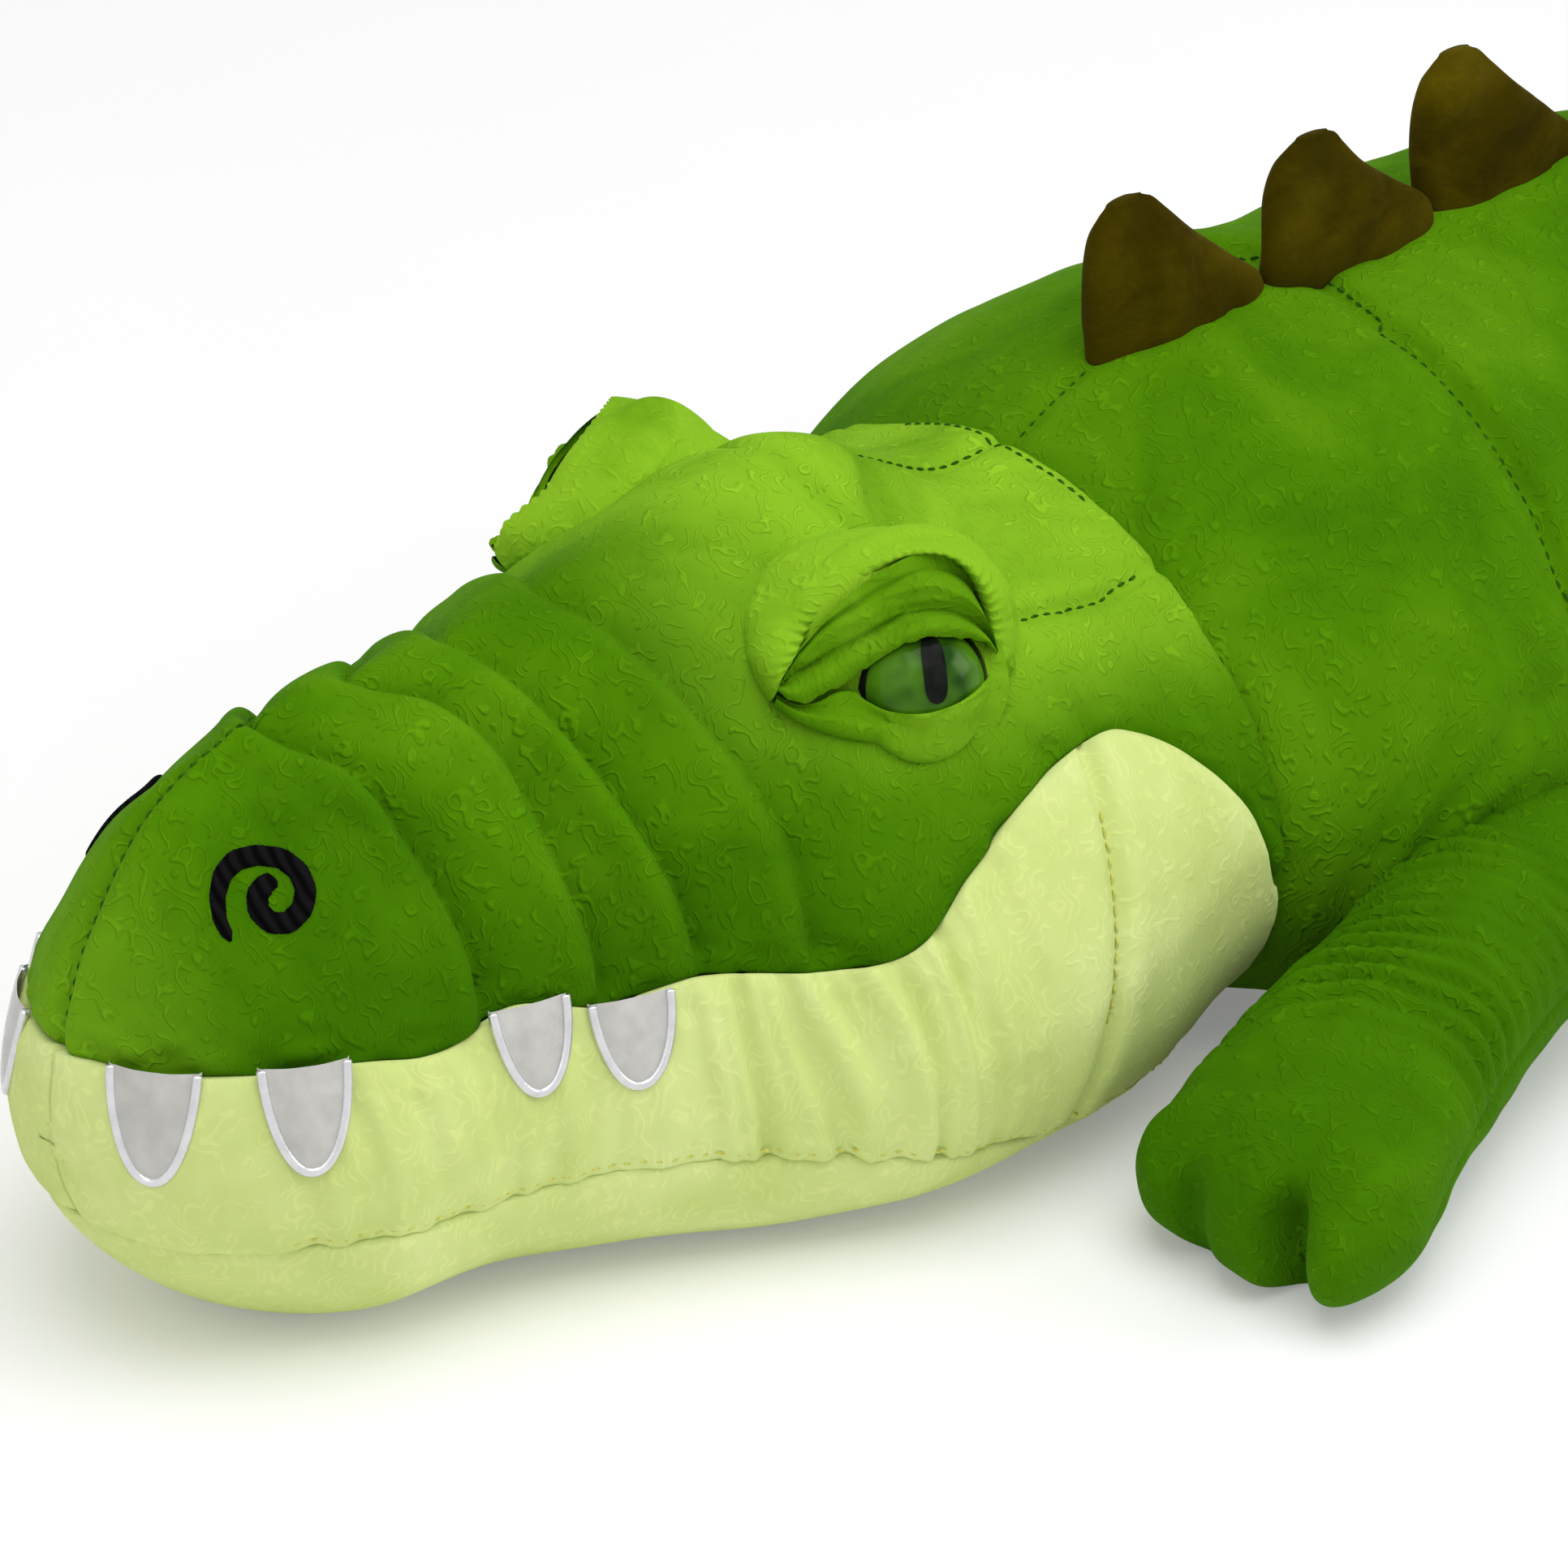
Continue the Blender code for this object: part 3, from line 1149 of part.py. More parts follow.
def build_spikes(torso, base, tip):
    """The row along the back, smaller towards the end of the tail."""
    rows = (
        ("back_spike", torso, "torso_space", NECK_Y + SPIKE_START_SHARES[0] * SPIKE_LENGTH,
         RUMP_Y - SPIKE_END_SHARES[0] * SPIKE_LENGTH, 7, 1.0, 1.0, None),
        ("tail_base_spike", base, "tail_base_space", RUMP_Y + SPIKE_START_SHARES[1] * SPIKE_LENGTH,
         TAIL_SPLIT_Y - SPIKE_END_SHARES[1] * SPIKE_LENGTH, 3, 0.85, 0.72, RUMP_PIVOT),
        ("tail_tip_spike", tip, "tail_tip_space", TAIL_SPLIT_Y + SPIKE_START_SHARES[2] * SPIKE_LENGTH,
         TAIL_END_Y - TAIL_END_ROUNDING, 4, 0.65, 0.4, TAIL_PIVOT),
    )
    for label, form, space_name, start, end, count, first_size, last_size, pivot in rows:
        pitch = (end - start) / count
        space = bpy.data.objects[space_name]
        for i in range(count):
            size = first_size + (last_size - first_size) * i / (count - 1)
            lean = 0.1 if i % 2 else -0.08
            build_spike(
                f"{label}_{i + 1}", form, space, start + pitch * i, pitch - SPIKE_GAP,
                SPIKE_HEIGHT * size, lean, pivot,
            )


def main():
    torso = torso_form()
    head = head_form(torso)
    tail_base = tail_base_form(torso)
    tail_tip = tail_tip_form(tail_base)
    build_torso(torso)
    build_head(torso, head)
    build_tail(torso, tail_base, tail_tip)
    build_legs(torso, leg_form())
    build_spikes(torso, tail_base, tail_tip)


main()
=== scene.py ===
"""Looks of the plush crocodile: sewn velvet panels, pleats, seams, lids, fins and paws."""

import math

import bpy
import numpy as np
from mathutils import Matrix, Vector
from mathutils.kdtree import KDTree


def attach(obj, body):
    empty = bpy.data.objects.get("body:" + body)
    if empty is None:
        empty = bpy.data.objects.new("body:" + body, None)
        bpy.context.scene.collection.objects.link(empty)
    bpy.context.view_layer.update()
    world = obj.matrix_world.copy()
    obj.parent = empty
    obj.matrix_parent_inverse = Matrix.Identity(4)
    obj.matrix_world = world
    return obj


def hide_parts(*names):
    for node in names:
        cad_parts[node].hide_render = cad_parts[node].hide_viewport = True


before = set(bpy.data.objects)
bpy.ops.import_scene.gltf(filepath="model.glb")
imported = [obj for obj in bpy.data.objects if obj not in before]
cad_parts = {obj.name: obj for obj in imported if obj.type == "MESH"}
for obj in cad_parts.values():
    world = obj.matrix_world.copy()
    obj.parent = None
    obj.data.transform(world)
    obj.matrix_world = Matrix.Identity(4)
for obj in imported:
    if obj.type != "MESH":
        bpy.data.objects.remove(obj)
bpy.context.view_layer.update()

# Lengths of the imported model, in metres
HEAD_LENGTH = 0.295
TORSO_LENGTH = 0.472
TAIL_LENGTH = 0.403
TAIL_BASE_LENGTH = 0.179
CLOTH = 0.0025
TURN_GAP = 0.0007
REST_PRESS = 0.0005
BELLY_PRESS = 0.0022
BODY_LEVEL = 0.071
CHEST_RADIUS = 0.1226
CHEST_RISE = 0.0905
NECK_SETBACK = 0.075
BELLY_HALF_WIDTH = 0.134
BACK_RISE = 0.099
RUMP_RADIUS = 0.098
RUMP_LEVEL = 0.060
RUMP_RISE = 0.080
RUMP_SETBACK = 0.062
BELLY_SEAM_HEIGHT = 0.030
COLLAR_DEPTH = 0.015
HEAD_HALF_WIDTH = 0.108
HEAD_HEIGHT = 0.163
SNOUT_LEVEL = 0.058
NOSE_ROUNDING = 0.066
MOUTH_HEIGHT = 0.081
CHIN_SEAM_HEIGHT = 0.036
NECK_BLEND = 0.040
TAIL_HALF_WIDTH = 0.074
TAIL_RISE = 0.066
TAIL_LEVEL = 0.058
TAIL_KNUCKLE_RADIUS = 0.052
TAIL_KNUCKLE_RISE = 0.044
TAIL_KNUCKLE_LEVEL = 0.042
TAIL_KNUCKLE_SETBACK = 0.031
TAIL_END_HALF_WIDTH = 0.017
TAIL_END_RISE = 0.015
TAIL_END_LEVEL = 0.015
TAIL_END_ROUNDING = 0.030
TAIL_COLLAR_DEPTH = 0.009
LEG_LENGTH = 0.160
LEG_ROOT_RADIUS = 0.0295
LEG_ROOT_RISE = 0.027
LEG_ROOT_LEVEL = 0.041
LEG_ROOT_INSET = 0.0046
LEG_HALF_WIDTH = 0.029
LEG_RISE = 0.028
PAW_HALF_WIDTH = 0.038
PAW_RISE = 0.024
PAW_LEVEL = 0.022
PAW_ROUNDING = 0.034
TOE_NOTCH = 0.012
LEG_HANG_SHARE = 0.6
FRONT_LEG_HEADING = -73.5
REAR_LEG_HEADING = -58.0
REAR_LEG_Y = 0.062
EYE_RADIUS = 0.0165
EYE_CENTRE_X = 0.0595
EYE_CENTRE_HEIGHT = 0.1265
EYE_FROM_NECK = 0.083
EYE_AZIMUTH = 60.0
EYE_ELEVATION = 18.0
MOUND_X = 0.046
MOUND_HEIGHT = 0.127
MOUND_FROM_NECK = 0.085
MOUND_HALF_THICKNESS = 0.018
MOUND_HALF_LENGTH = 0.038
MOUND_RISE = 0.037
MOUND_LEAN = 14.0
NOSTRIL_RADIUS = 0.0125
NOSTRIL_X = 0.031
NOSTRIL_FROM_TIP = 0.041
NOSTRIL_HEIGHT = 0.120
TOOTH_WIDTH = 0.022
TOOTH_LENGTH = 0.027
SPIKE_LENGTH = 0.062
SPIKE_HEIGHT = 0.037
SPIKE_HALF_THICKNESS = 0.0095
SPIKE_GAP = 0.0008
SPIKE_SINK = 0.012

# Lengths that only the looks have
STEP = 0.0016
SEAM_DEPTH = 0.0026
SEAM_WIDTH = 0.0034
SEAM_GAP = CLOTH / 25
SIDE_TUCK = 1.6
END_TUCK = 0.8
FOLD_DEPTH = 0.0080
FOLD_FRONT_WIDTH = 0.0017
FOLD_REAR_WIDTH = 0.0080
NOSE_DIP = 0.0065
CROWN_SEAM_LENGTH = 0.060
DART_X = 0.0565
DART_LENGTH = 0.054
FOREHEAD_Y = -0.362
FOREHEAD_HEIGHT = 0.12
CHEEK_SEAM_Y = -0.341
CHEEK_SEAM_SLOPE = 0.24
JAW_FOLD_DEPTH = 0.0020
CHIN_FOLD_DEPTH = 0.0004
PAD_FLATTENING = 0.65
LOWER_SKIRT_RADIUS = 0.0172
SOCKET_INNER_RADIUS = 0.0150
SOCKET_OUTER_RADIUS = 0.0215
SOCKET_HEIGHT = 0.0058
SOCKET_DROP = 0.0040
PUPIL_HALF_WIDTH = 0.0028
PUPIL_SHIFT = 0.0009
PUPIL_TOP = 0.0128
PUPIL_BOTTOM = -0.0030
NOSTRIL_SCALE = 0.86
NOSTRIL_THREAD_RADIUS = 0.0025
TOOTH_RIM = 0.0012
TOOTH_LIFT = 0.0009
STITCH_LENGTH = 0.0028
STITCH_PITCH = 0.0038
STITCH_RADIUS = 0.00040
CALM_START = 0.020
CALM_LENGTH = 0.050
NECK_CALM = 0.035
HEM_FRONT_HEIGHT = 0.007
HEM_DROP_END = 0.10
ELBOW_CREASE_DEPTH = 0.0058
ELBOW_CREASE_PITCH = 0.0070

TOTAL_LENGTH = HEAD_LENGTH + TORSO_LENGTH + TAIL_LENGTH
NOSE_Y = -TOTAL_LENGTH / 2
NECK_Y = NOSE_Y + HEAD_LENGTH
RUMP_Y = NECK_Y + TORSO_LENGTH
TAIL_SPLIT_Y = RUMP_Y + TAIL_BASE_LENGTH
TAIL_END_Y = TOTAL_LENGTH / 2
NECK_PIVOT_Y = NECK_Y + NECK_SETBACK
RUMP_PIVOT_Y = RUMP_Y - RUMP_SETBACK
TAIL_PIVOT_Y = TAIL_SPLIT_Y - TAIL_KNUCKLE_SETBACK
PANEL_SEAM_Y = -0.185
PANEL_SEAM_SLOPE = 0.09
SPINE_SEAM_END = NECK_Y + 0.034
SIDES = (("left", 1.0), ("right", -1.0))
ROUND = 2 * math.pi
AHEAD = np.array([0.0, 1.0, 0.0])


def along(stops, share):
    """Smooth value at a share of a length, through (share, value) stops, level at both ends."""
    places, values = np.array(stops, float).T
    share = np.clip(np.asarray(share, float), places[0], places[-1])
    slopes = np.zeros_like(values)
    slopes[1:-1] = (values[2:] - values[:-2]) / (places[2:] - places[:-2])
    i = np.clip(np.searchsorted(places, share, side="right") - 1, 0, len(places) - 2)
    span = places[i + 1] - places[i]
    t = (share - places[i]) / span
    rise = values[i] * (2 * t**3 - 3 * t**2 + 1) + values[i + 1] * (3 * t**2 - 2 * t**3)
    return rise + span * (slopes[i] * (t**3 - 2 * t**2 + t) + slopes[i + 1] * (t**3 - t**2))


def smooth(share):
    share = np.clip(share, 0.0, 1.0)
    return share * share * (3 - 2 * share)


def bell(value, width):
    return np.exp(-((value / width) ** 2))


def waves(turns, pitch, wander=0.0):
    return np.sin(turns * ROUND / pitch + wander)


def lumps(points, size, seed):
    """Soft three-dimensional unevenness between -1 and 1, from waves in fixed directions."""
    chance = np.random.default_rng(seed)
    total = np.zeros(points.shape[:-1])
    for _ in range(9):
        direction = chance.normal(size=3)
        direction /= np.linalg.norm(direction)
        pitch = size * chance.uniform(0.7, 1.6)
        total += waves(points @ direction, pitch, chance.uniform(0, ROUND))
    return total / 4.2


def halved(test, low, high, steps):
    """The two limits about the place where a test stops holding, by halving."""
    for _ in range(steps):
        middle = (low + high) / 2
        holds = test(middle)
        low = np.where(holds, middle, low)
        high = np.where(holds, high, middle)
    return low, high


def paired(first, second):
    return np.broadcast_arrays(np.asarray(first, float), np.asarray(second, float))


def mirrored(side):
    return np.array([side, 1.0, 1.0])


def walked(route):
    """Length walked along a route, at each of its points."""
    steps = np.linalg.norm(np.diff(route, axis=0), axis=1)
    return np.concatenate([[0.0], np.cumsum(steps)])


def read_off(places, length, values):
    return np.stack([np.interp(places, length, values[:, i]) for i in range(3)], 1)


def softened(route, rounds):
    for _ in range(rounds):
        route[1:-1] = (route[:-2] + 2 * route[1:-1] + route[2:]) / 4
    return route


def evened(route, count):
    """The same route at even steps, slightly smoothed."""
    length = walked(route)
    return softened(read_off(np.linspace(0, length[-1], count), length, route), 3)


# Forms of the stuffed bodies

class Form:
    """A soft body along Y: half width, rise and depth about a level, with domes or rounded ends."""

    def __init__(self, start, end, **stops):
        self.start = start
        self.end = end
        self.stops = stops
        self.front_dome = -TOTAL_LENGTH
        self.rear_dome = TOTAL_LENGTH
        self.front_rounding = 0.0
        self.rear_rounding = 0.0
        self.rounding_power = 2.0
        self.press = REST_PRESS
        self.cuff = None

    def share(self, y):
        return (y - self.start) / (self.end - self.start)

    def held(self, y):
        return np.clip(y, self.front_dome, self.rear_dome)

    def level(self, y):
        return along(self.stops["level"], self.share(self.held(y)))

    def closing(self, y, grow):
        closed = np.ones_like(y)
        ends = ((self.front_rounding, y - self.start), (self.rear_rounding, self.end - y))
        for rounding, inside in ends:
            if rounding:
                share = np.clip((rounding - inside) / (rounding + grow), 0.0, 1.0)
                round_end = (1 - share**self.rounding_power) ** (1 / self.rounding_power)
                closed = np.minimum(closed, round_end)
        return closed

    def underside(self, y, level):
        return level + self.press

    def sizes(self, y, grow):
        """Distance past a dome's edge, half width, rise, depth and level."""
        y = np.asarray(y, float)
        at = self.held(y)
        share = self.share(at)
        closed = self.closing(at, grow)
        level = along(self.stops["level"], share)
        half = (along(self.stops["half"], share) + grow) * closed
        rise = (along(self.stops["rise"], share) + grow) * closed
        depth = (self.underside(at, level) + grow) * closed
        return np.abs(y - at), half, rise, depth, level

    def reach(self, y, angles, grow=0.0):
        """Distance from the centre line to the surface, at angles about it."""
        y, angles = paired(y, angles)
        offset, half, rise, depth, _ = self.sizes(y, grow)
        share = self.share(self.held(y))
        cosine = np.cos(angles)
        sine = np.sin(angles)
        belly = along(self.stops["belly"], share)
        across_power = np.where(sine >= 0, along(self.stops["across"], share), belly)
        upward_power = np.where(sine >= 0, along(self.stops["upward"], share), belly)
        height = np.maximum(np.where(sine >= 0, rise, depth), REST_PRESS)
        half = np.maximum(half, REST_PRESS)

        def inside(middle):
            across = np.hypot(middle * cosine, offset) / half
            upward = np.abs(middle * sine) / height
            return across**across_power + upward**upward_power < 1

        low, high = halved(inside, np.zeros_like(angles), 2 * np.maximum(half, height), 26)
        found = (low + high) / 2
        if self.cuff is not None:
            neighbour, rim, length, clearance = self.cuff
            blend = 1 - smooth(np.abs(y - rim) / length)
            found = found * (1 - blend) + blend * neighbour.reach(rim, angles, clearance + grow)
        return found

    def points(self, y, angles, grow=0.0):
        y, angles = paired(y, angles)
        distance = self.reach(y, angles, grow)
        x = distance * np.cos(angles)
        z = np.maximum(self.level(y) + distance * np.sin(angles), -np.minimum(grow, 0.0))
        return np.stack([x, y, z], axis=-1)

    def angle_at(self, y, height):
        """Angle at which the surface of the right half reaches a height."""
        y, height = paired(y, height)
        level = self.level(y)

        def below(middle):
            return level + self.reach(y, middle) * np.sin(middle) < height

        low, high = halved(below, np.full(y.shape, -math.pi / 2), np.full(y.shape, math.pi / 2), 24)
        return (low + high) / 2

    def value(self, points, grow=0.0):
        """Below 1 inside the surface and above 1 outside."""
        x, y, z = np.moveaxis(np.asarray(points, float), -1, 0)
        level = self.level(y)
        angles = np.arctan2(z - level, np.abs(x))
        return np.hypot(x, z - level) / np.maximum(self.reach(y, angles, grow), REST_PRESS / 10)

    def drop(self, starts, direction, distance, grow=0.0):
        """Where points that move in a direction meet the surface."""
        starts = np.asarray(starts, float)
        direction = np.array(Vector(direction).normalized())
        low = np.zeros(starts.shape[:-1])

        def outside(middle):
            return self.value(starts + middle[..., None] * direction, grow) > 1

        return starts + halved(outside, low, low + distance, 22)[1][..., None] * direction

    def normal(self, point):
        step = CLOTH / 4
        point = np.array(point, float)
        around = [point + step * np.eye(3)[i] * sign for i in range(3) for sign in (1, -1)]
        values = self.value(np.array(around))
        return Vector(values[0::2] - values[1::2]).normalized()


def torso_form():
    made = Form(
        NECK_PIVOT_Y, RUMP_PIVOT_Y,
        half=((0.0, CHEST_RADIUS), (0.42, BELLY_HALF_WIDTH), (1.0, RUMP_RADIUS)),
        rise=((0.0, CHEST_RISE), (0.42, BACK_RISE), (1.0, RUMP_RISE)),
        level=((0.0, BODY_LEVEL), (0.42, BODY_LEVEL), (1.0, RUMP_LEVEL)),
        across=((0.0, 2.2), (0.25, 1.55), (0.8, 1.6), (1.0, 2.1)),
        upward=((0.0, 1.57), (0.25, 1.5), (1.0, 1.65)),
        belly=((0.0, 2.7), (1.0, 2.7)),
    )
    made.front_dome = NECK_PIVOT_Y
    made.rear_dome = RUMP_PIVOT_Y
    made.press = BELLY_PRESS
    return made


HEAD_WIDTH_SHARES = (
    (0.0, 0.56), (0.14, 0.56), (0.3, 0.605), (0.39, 0.68), (0.46, 0.76), (0.55, 0.875),
    (0.62, 0.955), (0.75, 1.0), (0.85, 0.99), (1.0, 0.94),
)
HEAD_TOP_SHARES = (
    (0.0, 0.91), (0.17, 0.935), (0.24, 0.91), (0.36, 0.91), (0.46, 0.93), (0.58, 0.955),
    (0.7, 0.99), (0.79, 0.985), (0.89, 0.925), (1.0, 0.89),
)
HEAD_LEVEL_SHARES = (
    (0.0, 1.0), (0.3, 0.91), (0.46, 0.81), (0.62, 0.79), (0.85, 0.98), (1.0, BODY_LEVEL / SNOUT_LEVEL),
)
HEAD_POWERS = ((0.0, 1.45), (0.2, 1.4), (0.36, 1.55), (0.6, 1.5), (0.8, 1.55), (1.0, 1.8))
MOUTH_LINE_SHARES = (
    (0.0, 1.0), (0.16, 1.01), (0.24, 0.97), (0.31, 1.03), (0.38, 0.97), (0.45, 1.0), (0.56, 0.95),
    (0.62, 0.97), (0.69, 1.12), (0.76, 1.26), (0.83, 1.33), (0.88, 1.32), (0.93, 1.2), (0.97, 1.0),
    (1.0, 0.72),
)
CHIN_LINE_SHARES = ((0.0, 1.0), (0.42, 1.0), (0.6, 0.75), (0.75, 0.5), (1.0, 0.55))
# Lines of the four pleats: (share of the way down the side, share of the head's length)
FOLD_LINE_SHARES = (
    ((0.0, 0.205), (0.07, 0.222), (0.147, 0.258), (0.312, 0.276), (0.504, 0.285), (0.705, 0.280),
     (1.0, 0.275)),
    ((0.0, 0.298), (0.05, 0.315), (0.107, 0.349), (0.224, 0.372), (0.41, 0.380), (0.587, 0.385),
     (0.736, 0.376), (1.0, 0.37)),
    ((0.0, 0.394), (0.05, 0.403), (0.126, 0.420), (0.244, 0.436), (0.397, 0.450), (0.567, 0.460),
     (0.729, 0.456), (1.0, 0.45)),
    ((0.0, 0.490), (0.05, 0.499), (0.117, 0.519), (0.279, 0.536), (0.422, 0.549), (0.575, 0.557),
     (0.748, 0.543), (1.0, 0.53)),
)
FOLD_STRENGTH_SHARES = (1.0, 1.0, 1.0, 0.75)


def scaled(shares, size):
    return tuple((at, share * size) for at, share in shares)


def head_share(y):
    return (y - NOSE_Y) / HEAD_LENGTH


def mouth_height(y):
    return MOUTH_HEIGHT * along(MOUTH_LINE_SHARES, head_share(y))


def chin_height(y):
    return CHIN_SEAM_HEIGHT * along(CHIN_LINE_SHARES, head_share(y))


def cuff_clearance(inner, rim, columns):
    offset, half = inner.sizes(rim, 0.0)[:2]
    sag = math.sqrt(half**2 - offset**2) * (1 - math.cos(math.pi / (2 * columns)))
    return CLOTH + TURN_GAP + float(sag)


def head_form(torso):
    level = scaled(HEAD_LEVEL_SHARES, SNOUT_LEVEL)
    made = Form(
        NOSE_Y, NECK_Y,
        half=scaled(HEAD_WIDTH_SHARES, HEAD_HALF_WIDTH),
        rise=tuple((at, top - float(along(level, at))) for at, top in scaled(HEAD_TOP_SHARES, HEAD_HEIGHT)),
        level=level,
        across=HEAD_POWERS,
        upward=HEAD_POWERS,
        belly=((0.0, 2.3), (0.3, 2.4), (0.5, 3.0), (0.7, 3.4), (1.0, 3.0)),
    )
    made.front_rounding = NOSE_ROUNDING
    made.rounding_power = 1.9
    made.press = BELLY_PRESS
    made.cuff = (torso, NECK_Y, NECK_BLEND, cuff_clearance(torso, NECK_Y, 12))
    return made


def tail_base_form(torso):
    middle = (TAIL_HALF_WIDTH + TAIL_KNUCKLE_RADIUS) / 2
    made = Form(
        RUMP_Y, TAIL_PIVOT_Y,
        half=((0.0, TAIL_HALF_WIDTH), (0.5, middle), (1.0, TAIL_KNUCKLE_RADIUS)),
        rise=((0.0, TAIL_RISE), (1.0, TAIL_KNUCKLE_RISE)),
        level=((0.0, TAIL_LEVEL), (1.0, TAIL_KNUCKLE_LEVEL)),
        across=((0.0, 1.8), (1.0, 2.2)),
        upward=((0.0, 1.8), (1.0, 1.8)),
        belly=((0.0, 2.7), (1.0, 2.6)),
    )
    made.rear_dome = TAIL_PIVOT_Y
    made.cuff = (torso, RUMP_Y, NECK_BLEND, cuff_clearance(torso, RUMP_Y, 7))
    return made


def tail_tip_form(base):
    clearance = cuff_clearance(base, TAIL_SPLIT_Y, 28)
    offset, half = base.sizes(TAIL_SPLIT_Y, clearance)[:2]
    rim_half = float(np.sqrt(half**2 - offset**2))
    made = Form(
        TAIL_SPLIT_Y, TAIL_END_Y,
        half=((0.0, rim_half), (1.0, TAIL_END_HALF_WIDTH)),
        rise=((0.0, TAIL_KNUCKLE_RISE * rim_half / TAIL_KNUCKLE_RADIUS), (1.0, TAIL_END_RISE)),
        level=((0.0, TAIL_KNUCKLE_LEVEL), (1.0, TAIL_END_LEVEL)),
        across=((0.0, 1.9), (1.0, 2.0)),
        upward=((0.0, 1.8), (1.0, 2.0)),
        belly=((0.0, 2.6), (1.0, 2.3)),
    )
    made.rear_rounding = TAIL_END_ROUNDING
    made.cuff = (base, TAIL_SPLIT_Y, NECK_BLEND, clearance)
    return made


class LegForm(Form):
    """A leg, whose root hangs clear of the ground and whose paw rests on it."""

    def underside(self, y, level):
        root = 1 - smooth(self.share(y) / LEG_HANG_SHARE)
        return LEG_ROOT_RISE * root + (level + REST_PRESS) * (1 - root)


def leg_form():
    middle = (LEG_ROOT_LEVEL + PAW_LEVEL) / 2
    made = LegForm(
        0.0, LEG_LENGTH,
        half=(
            (0.0, LEG_ROOT_RADIUS), (0.22, LEG_HALF_WIDTH), (0.5, LEG_HALF_WIDTH),
            (0.84, PAW_HALF_WIDTH), (1.0, PAW_HALF_WIDTH),
        ),
        rise=((0.0, LEG_ROOT_RISE), (0.5, LEG_RISE), (0.84, PAW_RISE), (1.0, PAW_RISE)),
        level=((0.0, LEG_ROOT_LEVEL), (0.5, middle), (0.8, PAW_LEVEL), (1.0, PAW_LEVEL)),
        across=((0.0, 2.0), (1.0, 2.0)),
        upward=((0.0, 2.0), (1.0, 2.0)),
        belly=((0.0, 2.0), (0.5, 2.2), (1.0, 2.4)),
    )
    made.front_dome = 0.0
    made.rear_rounding = PAW_ROUNDING
    made.rounding_power = 2.8
    return made


# Materials

# Lighter top and rear of the head: partly brushed nap, partly painted light from above
LIT_BRUSHED_NAP_ZONE = (("Y", -0.445, -0.375), ("Z", 0.104, 0.134))
# Darker low on the snout towards the lip: partly nap, partly painted shade
SHADED_NAP_ZONE = (("Z", 0.118, 0.080), ("Y", NOSE_Y, NOSE_Y + 0.040))
# Lighter nose tip: partly nap, partly a painted highlight
NOSE_LIT_NAP_ZONE = (("Y", NOSE_Y + 0.034, NOSE_Y),)
GREEN = (0.066, 0.205, 0.0016)
GREEN_LIGHT = (0.105, 0.270, 0.0040)
GREEN_DARK = (0.036, 0.135, 0.0008)
# Light green of the brushed nap, partly painted light
LIT_BRUSHED_GREEN = (0.235, 0.470, 0.0180)
PALE = (0.590, 0.690, 0.240)
PALE_LIGHT = (0.690, 0.780, 0.330)
PALE_DARK = (0.510, 0.610, 0.180)
PALE_SHEEN = (1.0, 1.0, 0.6)
# Darker green for the legs: painted shade
GREEN_LEG_SHADED = (0.046, 0.158, 0.0010)
GREEN_SHEEN = (0.55, 1.0, 0.08)
OLIVE = (0.037, 0.026, 0.0004)
OLIVE_LIGHT = (0.085, 0.064, 0.0015)
OLIVE_DARK = (0.014, 0.009, 0.0002)
OLIVE_SHEEN = (0.8, 0.7, 0.1)
WASHER_GREY = (0.30, 0.30, 0.30)


def node(tree, kind, inputs=(), **settings):
    """A node with its settings; an input is linked where its value is a socket, and otherwise set."""
    made = tree.nodes.new(kind)
    for name, value in settings.items():
        setattr(made, name, value)
    for name, value in dict(inputs).items():
        if isinstance(value, bpy.types.NodeSocket):
            tree.links.new(value, made.inputs[name])
        else:
            made.inputs[name].default_value = value
    return made


def product(tree, first, second):
    return node(tree, "ShaderNodeMath", {0: first, 1: second}, operation="MULTIPLY").outputs[0]


def noise(tree, place, scale, detail=3.0, roughness=0.55, distortion=0.0):
    inputs = {"Scale": scale, "Detail": detail, "Roughness": roughness, "Distortion": distortion}
    return node(tree, "ShaderNodeTexNoise", {"Vector": place, **inputs}).outputs["Fac"]


def ramp(tree, factor, *stops):
    """Colour through (place, colour or grey level) stops."""
    made = node(tree, "ShaderNodeValToRGB", {"Fac": factor})
    elements = made.color_ramp.elements
    for place, _ in stops[2:]:
        elements.new(place)
    for element, (place, tone) in zip(elements, stops):
        element.position = place
        element.color = (*tone, 1.0) if isinstance(tone, tuple) else (tone, tone, tone, 1.0)
    return made.outputs["Color"]


def mixed(tree, share, first, second, blend="MIX"):
    inputs = {"Factor": share, "A": first, "B": second}
    return node(tree, "ShaderNodeMix", inputs, data_type="RGBA", blend_type=blend).outputs["Result"]


def eased(tree, value, low, high, start=0.0, end=1.0):
    """A value's soft step from one level to another, between two limits."""
    inputs = {"From Min": low, "From Max": high, "To Min": start, "To Max": end, "Value": value}
    return node(tree, "ShaderNodeMapRange", inputs, interpolation_type="SMOOTHSTEP").outputs["Result"]


def zone(tree, place, limits):
    """Share that rises from 0 to 1 over (axis, from, to) limits, all of them together."""
    parts = node(tree, "ShaderNodeSeparateXYZ", {"Vector": place}).outputs
    last = None
    for axis, low, high in limits:
        ends = (0.0, 1.0) if low < high else (1.0, 0.0)
        step = eased(tree, parts[axis], min(low, high), max(low, high), *ends)
        last = step if last is None else product(tree, last, step)
    return last


def new_material(name):
    """A material, its node tree and its object coordinates."""
    made = bpy.data.materials.new(name)
    made.use_nodes = True
    return made, made.node_tree, node(made.node_tree, "ShaderNodeTexCoord").outputs["Object"]


